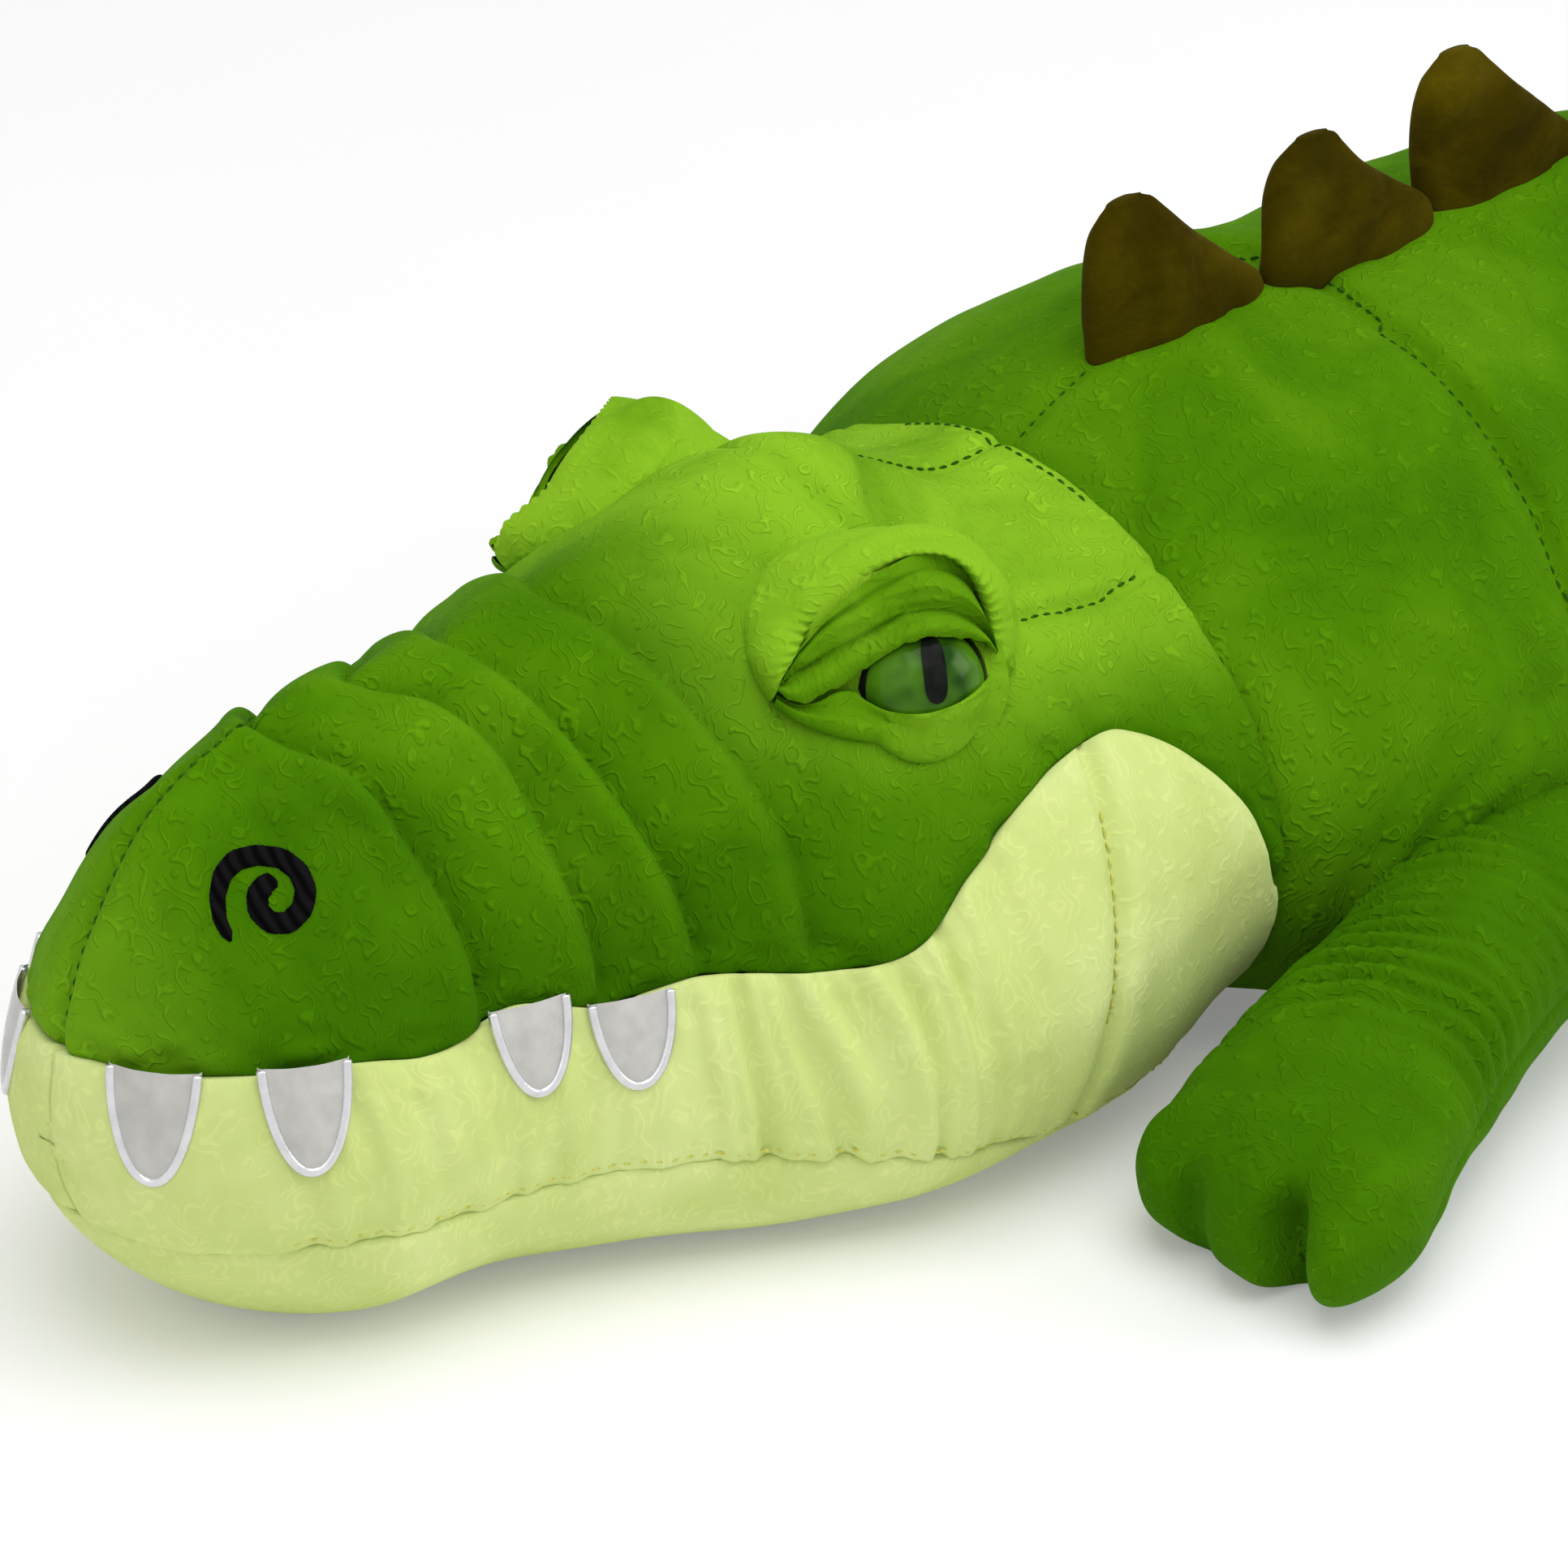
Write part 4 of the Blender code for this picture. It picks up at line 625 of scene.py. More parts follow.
def dress(tree, colour, heights, values):
    """Gives the shader a colour, chained bumps of (height, strength, distance), and plain values."""
    shader = tree.nodes["Principled BSDF"]
    tree.links.new(colour, shader.inputs["Base Color"])
    last = {}
    for height, strength, distance in heights:
        inputs = {"Height": height, "Strength": strength, "Distance": distance, **last}
        last = {"Normal": node(tree, "ShaderNodeBump", inputs).outputs["Normal"]}
    if last:
        tree.links.new(last["Normal"], shader.inputs["Normal"])
    for name, value in values.items():
        shader.inputs[name].default_value = value


def curls(tree, place, scale):
    """Height of a nap that is pressed into short loose curls, with plain nap between them."""
    inputs = {"Vector": place, "Scale": scale, "Distortion": 20.0, "Detail": 1.0, "Detail Scale": 1.4}
    rings = node(tree, "ShaderNodeTexWave", inputs, wave_type="RINGS").outputs["Fac"]
    crest = ramp(tree, rings, (0.60, 0.0), (0.95, 1.0))
    patches = ramp(tree, noise(tree, place, scale * 1.9, 1.0), (0.43, 0.0), (0.55, 1.0))
    return product(tree, crest, patches)


def nap_with_painted_light(tree, place, colour, tone):
    """Painted light and shade on the nap: lighter on the brow, the rear of the head and the nose's tip,
    partly brushed nap and partly painted light; darker low on the snout, partly nap and partly painted
    shade.
    """
    patches = ramp(tree, noise(tree, place, 16.0, 3.0, 0.6, 0.8), (0.28, 0.35), (0.55, 1.0))
    low = product(tree, zone(tree, place, SHADED_NAP_ZONE), 0.85)
    colour = mixed(tree, low, colour, (*GREEN_DARK, 1.0))
    tip = product(tree, zone(tree, place, NOSE_LIT_NAP_ZONE), 0.40)
    colour = mixed(tree, tip, colour, (*tone, 1.0))
    return mixed(tree, product(tree, zone(tree, place, LIT_BRUSHED_NAP_ZONE), patches), colour, (*tone, 1.0))


def plush(name, tones, curl, contrast, sheen_tint, lit_nap_tone=None):
    """Short-pile velvet: uneven nap colour, pressed curls, fine pile and a soft sheen; where a lit tone is
    given, also painted light and shade on the nap.
    """
    made, tree, place = new_material(name)
    broad = noise(tree, place, 20.0, 4.0, 0.6, 0.5)
    curl_height = curls(tree, place, 88.0)
    pile = noise(tree, place, 2600.0, 2.0, 0.7)
    colour = ramp(tree, broad, *zip((0.25, 0.5, 0.76), tones))
    if lit_nap_tone is not None:
        colour = nap_with_painted_light(tree, place, colour, lit_nap_tone)
    streak = ramp(tree, curl_height, (0.0, 0.96), (0.8, (1.32, 1.26, 1.32)))
    colour = mixed(tree, contrast, colour, streak, "MULTIPLY")
    heights = ((broad, 0.25, 0.004), (curl_height, curl, 0.0020), (pile, 0.30, 0.0004))
    dress(tree, colour, heights, {
        "Roughness": 0.9, "Specular IOR Level": 0.06, "Specular Tint": (*sheen_tint, 1.0),
        "Sheen Weight": 0.05, "Sheen Roughness": 0.4, "Sheen Tint": (*sheen_tint, 1.0),
    })
    return made


def speckled(name, scale, stops, relief, values):
    """Two tones in fine clouds, with a faint relief of (strength, distance) or none."""
    made, tree, place = new_material(name)
    cloud = noise(tree, place, scale, 2.0)
    dress(tree, ramp(tree, cloud, *stops), [(cloud, *relief)] if relief else (), values)
    return made


def satin():
    """Light grey satin, with a fine thread weave."""
    made, tree, place = new_material("satin_grey")
    fleck = noise(tree, place, 160.0, 3.0)
    inputs = {"Vector": place, "Scale": 900.0, "Distortion": 0.6}
    weave = node(tree, "ShaderNodeTexWave", inputs).outputs["Fac"]
    colour = ramp(tree, fleck, (0.3, (0.44, 0.43, 0.40)), (0.7, (0.54, 0.53, 0.50)))
    heights = ((weave, 0.12, 0.0003), (fleck, 0.2, 0.001))
    dress(tree, colour, heights, {"Roughness": 0.55, "Sheen Weight": 0.2})
    return made


def silver():
    """Smooth bright satin piping."""
    tones = ((0.3, (0.60, 0.60, 0.61)), (0.7, (0.70, 0.70, 0.72)))
    return speckled("silver_piping", 300.0, tones, (0.08, 0.0004), {"Roughness": 0.24, "Metallic": 0.7})


def thread(name, tone, bright, roughness, pitch):
    """Close rows of embroidery thread."""
    made, tree, place = new_material(name)
    inputs = {"Vector": place, "Scale": 0.16 / pitch, "Distortion": 1.2}
    rows = node(tree, "ShaderNodeTexWave", inputs, bands_direction="DIAGONAL").outputs["Fac"]
    values = {"Roughness": roughness, "Specular IOR Level": 0.6 - 0.65 * roughness}
    dress(tree, ramp(tree, rows, (0.1, tone), (0.85, bright)), ((rows, 0.35, 0.0005),), values)
    return made


def gloss_green():
    """Glossy plastic of the iris; its lighter clouds are partly the iris's own tone and partly a painted
    highlight.
    """
    tones = ((0.35, (0.010, 0.050, 0.001)), (0.62, (0.068, 0.195, 0.007)))
    return speckled("eye_gloss", 70.0, tones, None, {"Roughness": 0.14, "Specular IOR Level": 0.12})


def gloss_black():
    """Glossy plastic of the pupil and the eye's rim."""
    tones = ((0.3, (0.004, 0.005, 0.004)), (0.7, (0.012, 0.014, 0.010)))
    return speckled("pupil_gloss", 200.0, tones, None, {"Roughness": 0.16, "Specular IOR Level": 0.05})


def moulded(name, colour):
    """Plain moulded plastic."""
    tones = ((0.3, colour), (0.7, tuple(1.1 * c for c in colour)))
    return speckled(name, 700.0, tones, (0.1, 0.0003), {"Roughness": 0.5})


MATERIALS = {
    "green": plush("green_velvet", (GREEN_DARK, GREEN, GREEN_LIGHT), 0.50, 0.55, GREEN_SHEEN),
    # The legs' darker velvet is painted shade
    "leg": plush("shaded_leg_velvet", (GREEN_DARK, GREEN_LEG_SHADED, GREEN), 0.50, 0.55, GREEN_SHEEN),
    "head": plush("head_velvet", (GREEN_DARK, GREEN, GREEN_LIGHT), 0.50, 0.55, GREEN_SHEEN, LIT_BRUSHED_GREEN),
    # The brow roll's lighter velvet: partly brushed nap, partly painted light
    "brow": plush("brow_lit_velvet", (GREEN_LIGHT, LIT_BRUSHED_GREEN, LIT_BRUSHED_GREEN), 0.35, 0.30, GREEN_SHEEN),
    "lid": plush("lid_velvet", (GREEN, GREEN_LIGHT, LIT_BRUSHED_GREEN), 0.40, 0.30, GREEN_SHEEN),
    "pale": plush("pale_velvet", (PALE_DARK, PALE, PALE_LIGHT), 0.16, 0.20, PALE_SHEEN),
    "olive": plush("olive_velvet", (OLIVE_DARK, OLIVE, OLIVE_LIGHT), 0.15, 0.20, OLIVE_SHEEN),
    "satin": satin(),
    "silver": silver(),
    "black": thread("black_embroidery", (0.002, 0.002, 0.002), (0.007, 0.007, 0.008), 0.9, 0.0011),
    "seam": thread("seam_thread", (0.018, 0.075, 0.001), (0.034, 0.120, 0.002), 0.8, 0.0006),
    "seam_pale": thread("pale_seam_thread", (0.520, 0.520, 0.100), (0.620, 0.640, 0.170), 0.8, 0.0006),
    "eye": gloss_green(),
    "pupil": gloss_black(),
    "washer": moulded("washer_grey", WASHER_GREY),
}
SLOTS = {
    **dict.fromkeys(("green", "leg", "head", "brow", "lid", "seam"), "green_plush"),
    **dict.fromkeys(("pale", "seam_pale"), "pale_plush"),
    **dict.fromkeys(("satin", "silver"), "tooth_satin"),
    **dict.fromkeys(("eye", "pupil"), "eye_plastic"),
    "olive": "olive_plush",
    "black": "black_thread",
}


# Mesh helpers

def piece(name, vertices, faces, look, body, replaced=()):
    """A smooth mesh piece that rides on a body and takes a material."""
    mesh = bpy.data.meshes.new(name)
    mesh.from_pydata([tuple(v) for v in np.asarray(vertices, float)], [], [tuple(f) for f in faces])
    mesh.update()
    mesh.shade_smooth()
    made = bpy.data.objects.new(name, mesh)
    bpy.context.scene.collection.objects.link(made)
    mesh.materials.append(MATERIALS[look])
    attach(made, body)
    if replaced:
        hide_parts(*replaced)
    return made


def grid_faces(rows, columns, closed=False, flip=False):
    i, j = np.meshgrid(np.arange(rows - 1), np.arange(columns if closed else columns - 1), indexing="ij")
    k = (j + 1) % columns
    listed = np.stack([i * columns + j, i * columns + k, (i + 1) * columns + k, (i + 1) * columns + j], -1)
    listed = listed.reshape(-1, 4)
    return listed[:, ::-1] if flip else listed


def grid_piece(name, rows, look, body, replaced=(), closed=False, flip=False):
    faces = grid_faces(*rows.shape[:2], closed, flip)
    return piece(name, rows.reshape(-1, 3), faces, look, body, replaced)


def capped(count, columns, flip):
    """Faces of a closed grid whose ends close on two further vertices, listed after the grid's own."""
    faces = [tuple(int(v) for v in f) for f in grid_faces(count, columns, closed=True)]
    first, last = count * columns, count * columns + 1
    for i in range(columns):
        j = (i + 1) % columns
        faces.append((first, j, i))
        faces.append((last, (count - 1) * columns + i, (count - 1) * columns + j))
    return [f[::-1] for f in faces] if flip else faces


def with_poles(rows):
    return np.concatenate([rows.reshape(-1, 3), rows[:1].mean(axis=1), rows[-1:].mean(axis=1)])


def capped_piece(name, rows, look, body, replaced=()):
    """A tube piece with both ends closed on a point."""
    return piece(name, with_poles(rows), capped(*rows.shape[:2], False), look, body, replaced)


def grid_normals(points, closed=False):
    """Unit normals of a grid of points, from its own neighbours."""
    down = np.gradient(points, axis=0)
    if closed:
        across = np.roll(points, -1, axis=1) - np.roll(points, 1, axis=1)
    else:
        across = np.gradient(points, axis=1)
    normal = np.cross(across, down)
    return normal / np.maximum(np.linalg.norm(normal, axis=-1, keepdims=True), 1e-12)


def outward(points, normals, form):
    """The same normals, all turned away from the form's centre line."""
    centre = np.stack([np.zeros_like(points[..., 0]), points[..., 1], form.level(points[..., 1])], -1)
    leaning = ((points - centre) * normals).sum(-1).mean()
    return normals if leaning > 0 else -normals


def pressed(rows):
    rows[..., 2] = np.maximum(rows[..., 2], REST_PRESS)
    return rows


def edged(rows, normals, depth, axis):
    """The grid with a further row inside its two edges, so that the cloth shows a turned edge."""
    first = np.take(rows, [0], axis) - np.take(normals, [0], axis) * depth
    last = np.take(rows, [-1], axis) - np.take(normals, [-1], axis) * depth
    return np.concatenate([first, rows, last], axis=axis)


SURFACES = {}


def sheet(name, form, rows, relief, look, body, replaced=(), closed=False, pointed=False):
    """A panel over a form: its relief moves it along its normals, and its edges turn inwards."""
    normals = outward(rows, grid_normals(rows, closed), form)
    if pointed:
        normals[-2:] = AHEAD
    shaped = pressed(rows + normals * relief(rows)[..., None])
    shaped = edged(shaped, normals, CLOTH * END_TUCK, 0)
    if not closed:
        normals = np.concatenate([normals[:1], normals, normals[-1:]])
        shaped = edged(shaped, normals, CLOTH * SIDE_TUCK, 1)
    shaped = pressed(shaped)
    own = grid_normals(shaped, closed)
    turned = outward(shaped, own, form)
    SURFACES[name] = (shaped[1:-1].reshape(-1, 3), turned[1:-1].reshape(-1, 3))
    middle = shaped.shape[0] // 2, shaped.shape[1] // 2
    flip = bool(own[middle] @ turned[middle] > 0)
    return grid_piece(name, shaped, look, body, replaced, closed, flip)


def even_rows(start, end):
    return np.linspace(start, end, max(int((end - start) / STEP), 8))


def fans(form, stations, low_at, high_at, columns):
    """Rows of points between two angles of a form."""
    share = np.linspace(0.0, 1.0, columns)[None, :]
    y = np.repeat(np.asarray(stations, float)[:, None], columns, axis=1)
    low, high = low_at(y), high_at(y)
    return form.points(y, low + (high - low) * share)


def seam_angle(form, height, offset):
    """Angle of a seam, whose height is a function of the station, on the right side of a form."""
    return lambda y: form.angle_at(y, height(y) + offset)


def over(angle):
    """The same angle on the far side, across the top."""
    return lambda y: math.pi - angle(y)


def under(angle):
    """The same angle after a full turn, past the underside."""
    return lambda y: ROUND + angle(y)


def edge_groove(rows, sides, end, seed):
    """Depth of a sewn edge with small puckers, from the distance to a grid's side and rear edges."""
    columns = rows.shape[1]
    step = np.linalg.norm(np.diff(rows, axis=1), axis=-1)
    along_row = np.concatenate([np.zeros((rows.shape[0], 1)), np.cumsum(step, axis=1)], axis=1)
    near = np.minimum(along_row, along_row[:, -1:] - along_row)
    pucker = 1 + 0.35 * lumps(rows, 0.011, seed)
    change = -SEAM_DEPTH * np.exp(-near / SEAM_WIDTH) * sides
    change = change - 0.0007 * bell(near - 0.006, 0.005) * lumps(rows, 0.009, seed + 1) * sides
    if end:
        away = np.abs(rows[..., 1] - rows[-1, columns // 2, 1])
        change = change - SEAM_DEPTH * np.exp(-away / SEAM_WIDTH) * end
    return change * pucker


# Head

def crossing(form, seam, above):
    """Station at which the nose's outline first reaches a seam."""

    def short_of(y):
        _, _, rise, depth, level = form.sizes(y, 0.0)
        return not (level + rise > seam(y) if above else level - depth < seam(y))

    return float(halved(short_of, NOSE_Y, NOSE_Y + NOSE_ROUNDING, 30)[1])


def pleats(rows, form):
    """Sewn tucks over the snout: each band rises to a round rear edge and drops into the next tuck."""
    y = rows[..., 1]
    down = 1 - np.arctan2(rows[..., 2] - form.level(y), np.abs(rows[..., 0])) * 2 / math.pi
    above = smooth((rows[..., 2] - mouth_height(y) + 0.006) / 0.014)
    side = smooth(down / 0.25)
    change = np.zeros_like(y)
    wobble = 0.0010 * lumps(rows, 0.05, 11)
    for line, strength in zip(FOLD_LINE_SHARES, FOLD_STRENGTH_SHARES):
        away = (head_share(y) - along(line, down)) * HEAD_LENGTH + wobble
        valley = np.exp(-np.abs(away) / np.where(away < 0, FOLD_FRONT_WIDTH, FOLD_REAR_WIDTH))
        lip = 0.34 * bell(away + 0.0055, 0.0050) + 0.10 * bell(away - 0.018, 0.008)
        change = change + FOLD_DEPTH * strength * above * (0.55 + 0.45 * side) * (lip * side - valley)
    return change


def nose_relief(x, y):
    """The raised seam along the nose, and the dip of the nose plate's top."""
    nose = smooth((NOSE_Y + NOSE_ROUNDING - y) / 0.012)
    seam = nose * (0.0014 * bell(x - 0.005, 0.004) - 0.0032 * bell(x, 0.0026))
    return seam - NOSE_DIP * bell(head_share(y) - 0.170, 0.055) * bell(x, 0.034)


def crown_relief(x, y, above):
    """The seam along the crown and the darts behind the eyes."""
    crown = smooth((y - NECK_Y + CROWN_SEAM_LENGTH) / 0.012)
    dart = smooth((y - NECK_Y + DART_LENGTH) / 0.008) * smooth(above / 0.02)
    away = np.abs(x) - DART_X
    tuck = 0.0010 * bell(away, 0.010) - 0.0024 * bell(away, 0.0022)
    return tuck * dart - 0.0020 * bell(x, 0.0022) * crown


def forehead_relief(rows):
    """The forehead's bulge, the dip behind it and two slanting wrinkles on each side."""
    x, y, z = np.moveaxis(rows, -1, 0)
    wide = np.abs(x)
    away = y - FOREHEAD_Y
    bulge = 0.0040 * bell(away, 0.020) * bell(x, 0.026)
    dip = 0.0015 * bell(away - 0.040, 0.016) * bell(x, 0.040)
    front = away + 0.006 - 0.16 * (wide - 0.012) + 0.0015 * lumps(rows, 0.03, 8)
    rear = away - 0.012 + 0.5 * (wide - 0.02) + 0.0015 * lumps(rows, 0.03, 18)
    front_fold = 0.0034 * bell(front, 0.0032) * bell(wide - 0.020, 0.014)
    rear_fold = 0.0028 * bell(rear, 0.0035) * bell(wide - 0.018, 0.014)
    return (bulge - dip - front_fold - rear_fold) * smooth((z - FOREHEAD_HEIGHT) / 0.02)


def head_top_relief(form):
    """Pleats, the stitched nose, crown and brow seams, forehead wrinkles and a soft unevenness."""

    def relief(rows):
        x, y, z = np.moveaxis(rows, -1, 0)
        change = pleats(rows, form) + 0.0011 * lumps(rows, 0.055, 5) + 0.0004 * lumps(rows, 0.02, 6)
        change = change + edge_groove(rows, 1.0, 0.5, 21) + nose_relief(x, y)
        change = change + crown_relief(x, y, z - form.level(y)) + forehead_relief(rows)
        pouch = smooth((y - (NOSE_Y + 0.20)) / 0.02) * bell(z - 0.100, 0.026)
        creases = np.sin(y * 330 + z * 70 + 3.0 * lumps(rows, 0.05, 9))
        return change + 0.0009 * pouch * np.minimum(creases, 0.4)

    return relief


def jaw_relief(seed, folds, cheek=0.0):
    """Draped vertical wrinkles below the lip, strongest under the pleats, and the seam across the cheek."""

    def relief(rows):
        y, z = rows[..., 1], rows[..., 2]
        change = edge_groove(rows, 0.45, 0.2, seed) + 0.0012 * lumps(rows, 0.06, seed + 2)
        drape = rows * np.array([1.0, 1.0, 0.25])
        wave = waves(y + 0.12 * z, 0.015, 2.6 * lumps(drape, 0.05, seed + 4))
        fine = waves(y + 0.08 * z, 0.0068, 2.6 * lumps(drape, 0.03, seed + 5))
        where = (0.35 + 0.65 * smooth((y - (NOSE_Y + 0.12)) / 0.04)) * smooth((NECK_Y - 0.07 - y) / 0.04)
        where = where * smooth((y - (NOSE_Y + 0.015)) / 0.03) * smooth((z - 0.008) / 0.03)
        change = change + folds * where * (np.minimum(wave, 0.5) + 0.35 * fine)
        away = y - CHEEK_SEAM_Y - CHEEK_SEAM_SLOPE * (z - 0.1)
        return change - cheek * (0.0026 * bell(away, 0.0024) - 0.0010 * bell(np.abs(away) - 0.007, 0.005))

    return relief


def nose_rows(start):
    """Stations over the head, much closer together round the nose."""
    share = np.linspace(0.0, 1.0, int(HEAD_LENGTH / STEP * 1.7))
    eased_share = np.where(share < 0.16, share**2 / 0.32, share - 0.08) / 0.92
    return start + (NECK_Y - start) * eased_share


def build_head_top(head):
    lip = seam_angle(head, mouth_height, SEAM_GAP)
    stations = nose_rows(crossing(head, mouth_height, True) + SEAM_GAP)
    rows = fans(head, stations, lip, over(lip), 250)
    sheet("head_top", head, rows, head_top_relief(head), "head", "head", ("head_top_panel", "head_stuffing"))


def build_jaws(head):
    low = seam_angle(head, chin_height, SEAM_GAP)
    high = seam_angle(head, mouth_height, -SEAM_GAP)
    rows = fans(head, nose_rows(NOSE_Y), low, high, 46)
    rows[..., 0] = np.maximum(rows[..., 0], CLOTH / 8)
    relief = jaw_relief(31, JAW_FOLD_DEPTH, 1.0)
    for label, side in SIDES:
        sheet(f"jaw_{label}", head, rows * mirrored(side), relief, "pale", "head", (f"jaw_panel_{label}",))


def build_chin(head):
    edge = seam_angle(head, chin_height, -SEAM_GAP)
    stations = nose_rows(crossing(head, chin_height, False) + SEAM_GAP)
    rows = fans(head, stations, over(edge), under(edge), 110)
    sheet("chin", head, rows, jaw_relief(41, CHIN_FOLD_DEPTH), "pale", "head", ("chin_panel",))


# Eyes. Curves of their pieces about the eye's centre, in tenths of a millimetre: to the right, up and out

BROW_OUTER = (
    (-375, 5, 84), (-395, 51, 60), (-404, 108, 25), (-393, 171, -22), (-368, 225, -68), (-327, 276, -100),
    (-267, 322, -100), (-182, 348, -100), (-88, 358, -100), (-5, 354, -100), (78, 336, -100),
    (147, 307, -100), (203, 264, -100), (241, 209, -100), (261, 148, -100), (265, 91, -100),
    (256, 44, -100), (233, 18, -85),
)
BROW_INNER = (
    (-356, 49, 110), (-331, 81, 86), (-296, 125, 51), (-251, 176, 20), (-199, 220, 20), (-137, 257, 20),
    (-76, 289, 20), (-21, 308, 20), (27, 311, 20), (74, 301, 20), (115, 274, 17), (145, 231, 11),
    (163, 179, 7), (175, 124, 5), (185, 82, 3), (193, 47, 1),
)
LID_RIDGE = (
    (-352, 48, 134), (-322, 79, 109), (-277, 118, 85), (-228, 153, 85), (-161, 178, 85), (-89, 199, 85),
    (-29, 209, 85), (30, 211, 85), (89, 197, 85), (138, 163, 70), (167, 120, 58), (180, 77, 53),
)
LID_EDGE = (
    (-366, 35, 134), (-337, 10, 144), (-289, 5, 139), (-225, 20, 118), (-178, 39, 98), (-135, 64, 95),
    (-90, 94, 115), (-44, 113, 126), (4, 122, 125), (54, 120, 114), (106, 108, 93), (151, 87, 75),
    (177, 61, 64),
)
LOWER_EDGE = (
    (-361, 19, 126), (-319, -7, 134), (-270, -8, 126), (-218, 7, 108), (-175, 4, 101), (-148, -18, 108),
    (-107, -41, 127), (-59, -51, 153), (-3, -50, 165), (59, -36, 158), (115, -12, 125), (169, 12, 44),
    (204, 39, 23),
)
LOWER_FOLD = (
    (-366, 12, 137), (-322, -21, 149), (-276, -37, 150), (-229, -48, 147), (-183, -62, 145),
    (-136, -76, 142), (-93, -81, 134), (-46, -75, 141), (8, -64, 154), (67, -48, 145), (133, -25, 96),
    (190, -4, 11), (220, 26, -7),
)
LOWER_BOTTOM = (
    (-368, -2, 103), (-329, -39, 118), (-279, -68, 125), (-222, -91, 125), (-163, -107, 121),
    (-102, -116, 111), (-51, -112, 97), (-5, -103, 81), (47, -93, 61), (108, -77, 34), (172, -52, 0),
    (218, -22, -36), (246, 12, -59),
)
TENTHS_OF_MM = 10000
LID_SAMPLES = 300
# Folds over the upper lid: row of the grid, width in rows and height
LID_FOLDS = ((35, 2.4, -0.0019), (15, 3.0, -0.0014), (43, 4.0, 0.0009), (25, 4.0, 0.0007))
LOWER_SAMPLES = 220
EYE_COLUMNS = 72
BALL_POLE_ANGLE = math.degrees(0.002)
MOUND_CENTRE = np.array([MOUND_X, NECK_Y - MOUND_FROM_NECK, MOUND_HEIGHT])
MOUND_RADII = np.array([MOUND_HALF_THICKNESS, MOUND_HALF_LENGTH, MOUND_RISE])
MOUND_TURN = np.array(Matrix.Rotation(math.radians(MOUND_LEAN), 3, "Y"))


def resampled(curve, count):
    """A smooth curve through the listed points, at even shares of its length."""
    spots = np.array(curve, float) / TENTHS_OF_MM
    length = walked(spots)
    share = np.linspace(0.0, 1.0, count)
    stops = length / length[-1]
    return np.stack([along(np.stack([stops, spots[:, i]], 1), share) for i in range(3)], 1)


def lofted(lines, counts):
    """Rows between lines, smooth across them; counts are the rows up to each next line."""
    places = np.concatenate([[0], np.cumsum(counts)]).astype(float)
    at = np.arange(int(places[-1]) + 1)
    rows = np.zeros((len(at), *lines[0].shape))
    padded = [lines[0], *lines, lines[-1]]
    for i in range(len(lines) - 1):
        inside = (at >= places[i]) & (at <= places[i + 1])
        t = ((at[inside] - places[i]) / (places[i + 1] - places[i]))[:, None, None]
        a, b, c, d = padded[i:i + 4]
        rows[inside] = 0.5 * (
            2 * b + (c - a) * t + (2 * a - 5 * b + 4 * c - d) * t**2 + (3 * b - a - 3 * c + d) * t**3
        )
    return rows


def eye_frame():
    """The eye's centre on the left side, and its right, up and outward directions."""
    azimuth = math.radians(EYE_AZIMUTH)
    elevation = math.radians(EYE_ELEVATION)
    flat = math.cos(elevation)
    out = np.array([flat * math.sin(azimuth), -flat * math.cos(azimuth), math.sin(elevation)])
    right = np.array([math.cos(azimuth), math.sin(azimuth), 0.0])
    up = np.cross(out, right)
    centre = np.array([EYE_CENTRE_X, NECK_Y - EYE_FROM_NECK, EYE_CENTRE_HEIGHT])
    return centre, right, up * np.sign(up[2]), out


EYE_CENTRE, EYE_RIGHT, EYE_UP, EYE_OUT = eye_frame()


def on_eye_plane(rows):
    return EYE_CENTRE + rows[..., :1] * EYE_RIGHT + rows[..., 1:2] * EYE_UP


def patch(name, rows, side, look, replaced=(), closed=False):
    """A piece of the eye, on the left side or mirrored to the right."""
    spots = (on_eye_plane(rows) + rows[..., 2:] * EYE_OUT) * mirrored(side)
    return grid_piece(name, spots, look, "head", replaced, closed, side > 0)


def above_head(head, curve, least):
    """The same curve, raised along the eye's direction to at least a height above the head's cloth."""
    met = head.drop(on_eye_plane(curve) + 0.07 * EYE_OUT, -EYE_OUT, 0.16)
    raised = curve.copy()
    raised[:, 2] = np.maximum(curve[:, 2], (met - EYE_CENTRE) @ EYE_OUT + least)
    return raised


def over_ball(curve, least):
    """The same curve, raised to at least a height above the eye's ball."""
    raised = curve.copy()
    height = np.sqrt(np.maximum(EYE_RADIUS**2 - curve[..., 0] ** 2 - curve[..., 1] ** 2, 0.0))
    near = smooth(height / 0.004)
    raised[..., 2] = np.maximum(curve[..., 2], (height + least) * near + curve[..., 2] * (1 - near))
    return raised


def over_pad(rows, least):
    """The same rows, raised to at least a height above the stuffed mound."""
    start = ((on_eye_plane(rows) - MOUND_CENTRE) @ MOUND_TURN) / MOUND_RADII
    ahead = (EYE_OUT @ MOUND_TURN) / MOUND_RADII
    square = ahead @ ahead
    linear = 2 * (start @ ahead)
    rest = linear**2 - 4 * square * ((start * start).sum(-1) - 1)
    met = (-linear + np.sqrt(np.maximum(rest, 0.0))) / (2 * square)
    behind = (EYE_CENTRE - MOUND_CENTRE) @ EYE_OUT
    flat = (behind + met) * PAD_FLATTENING - behind
    raised = rows.copy()
    raised[..., 2] = np.where(rest > 0, np.maximum(rows[..., 2], flat + least), rows[..., 2])
    return raised


def moved(curve, up, out, scale=1.0):
    spots = curve.copy()
    spots[:, :2] *= scale
    return spots + np.array([0.0, up, out])


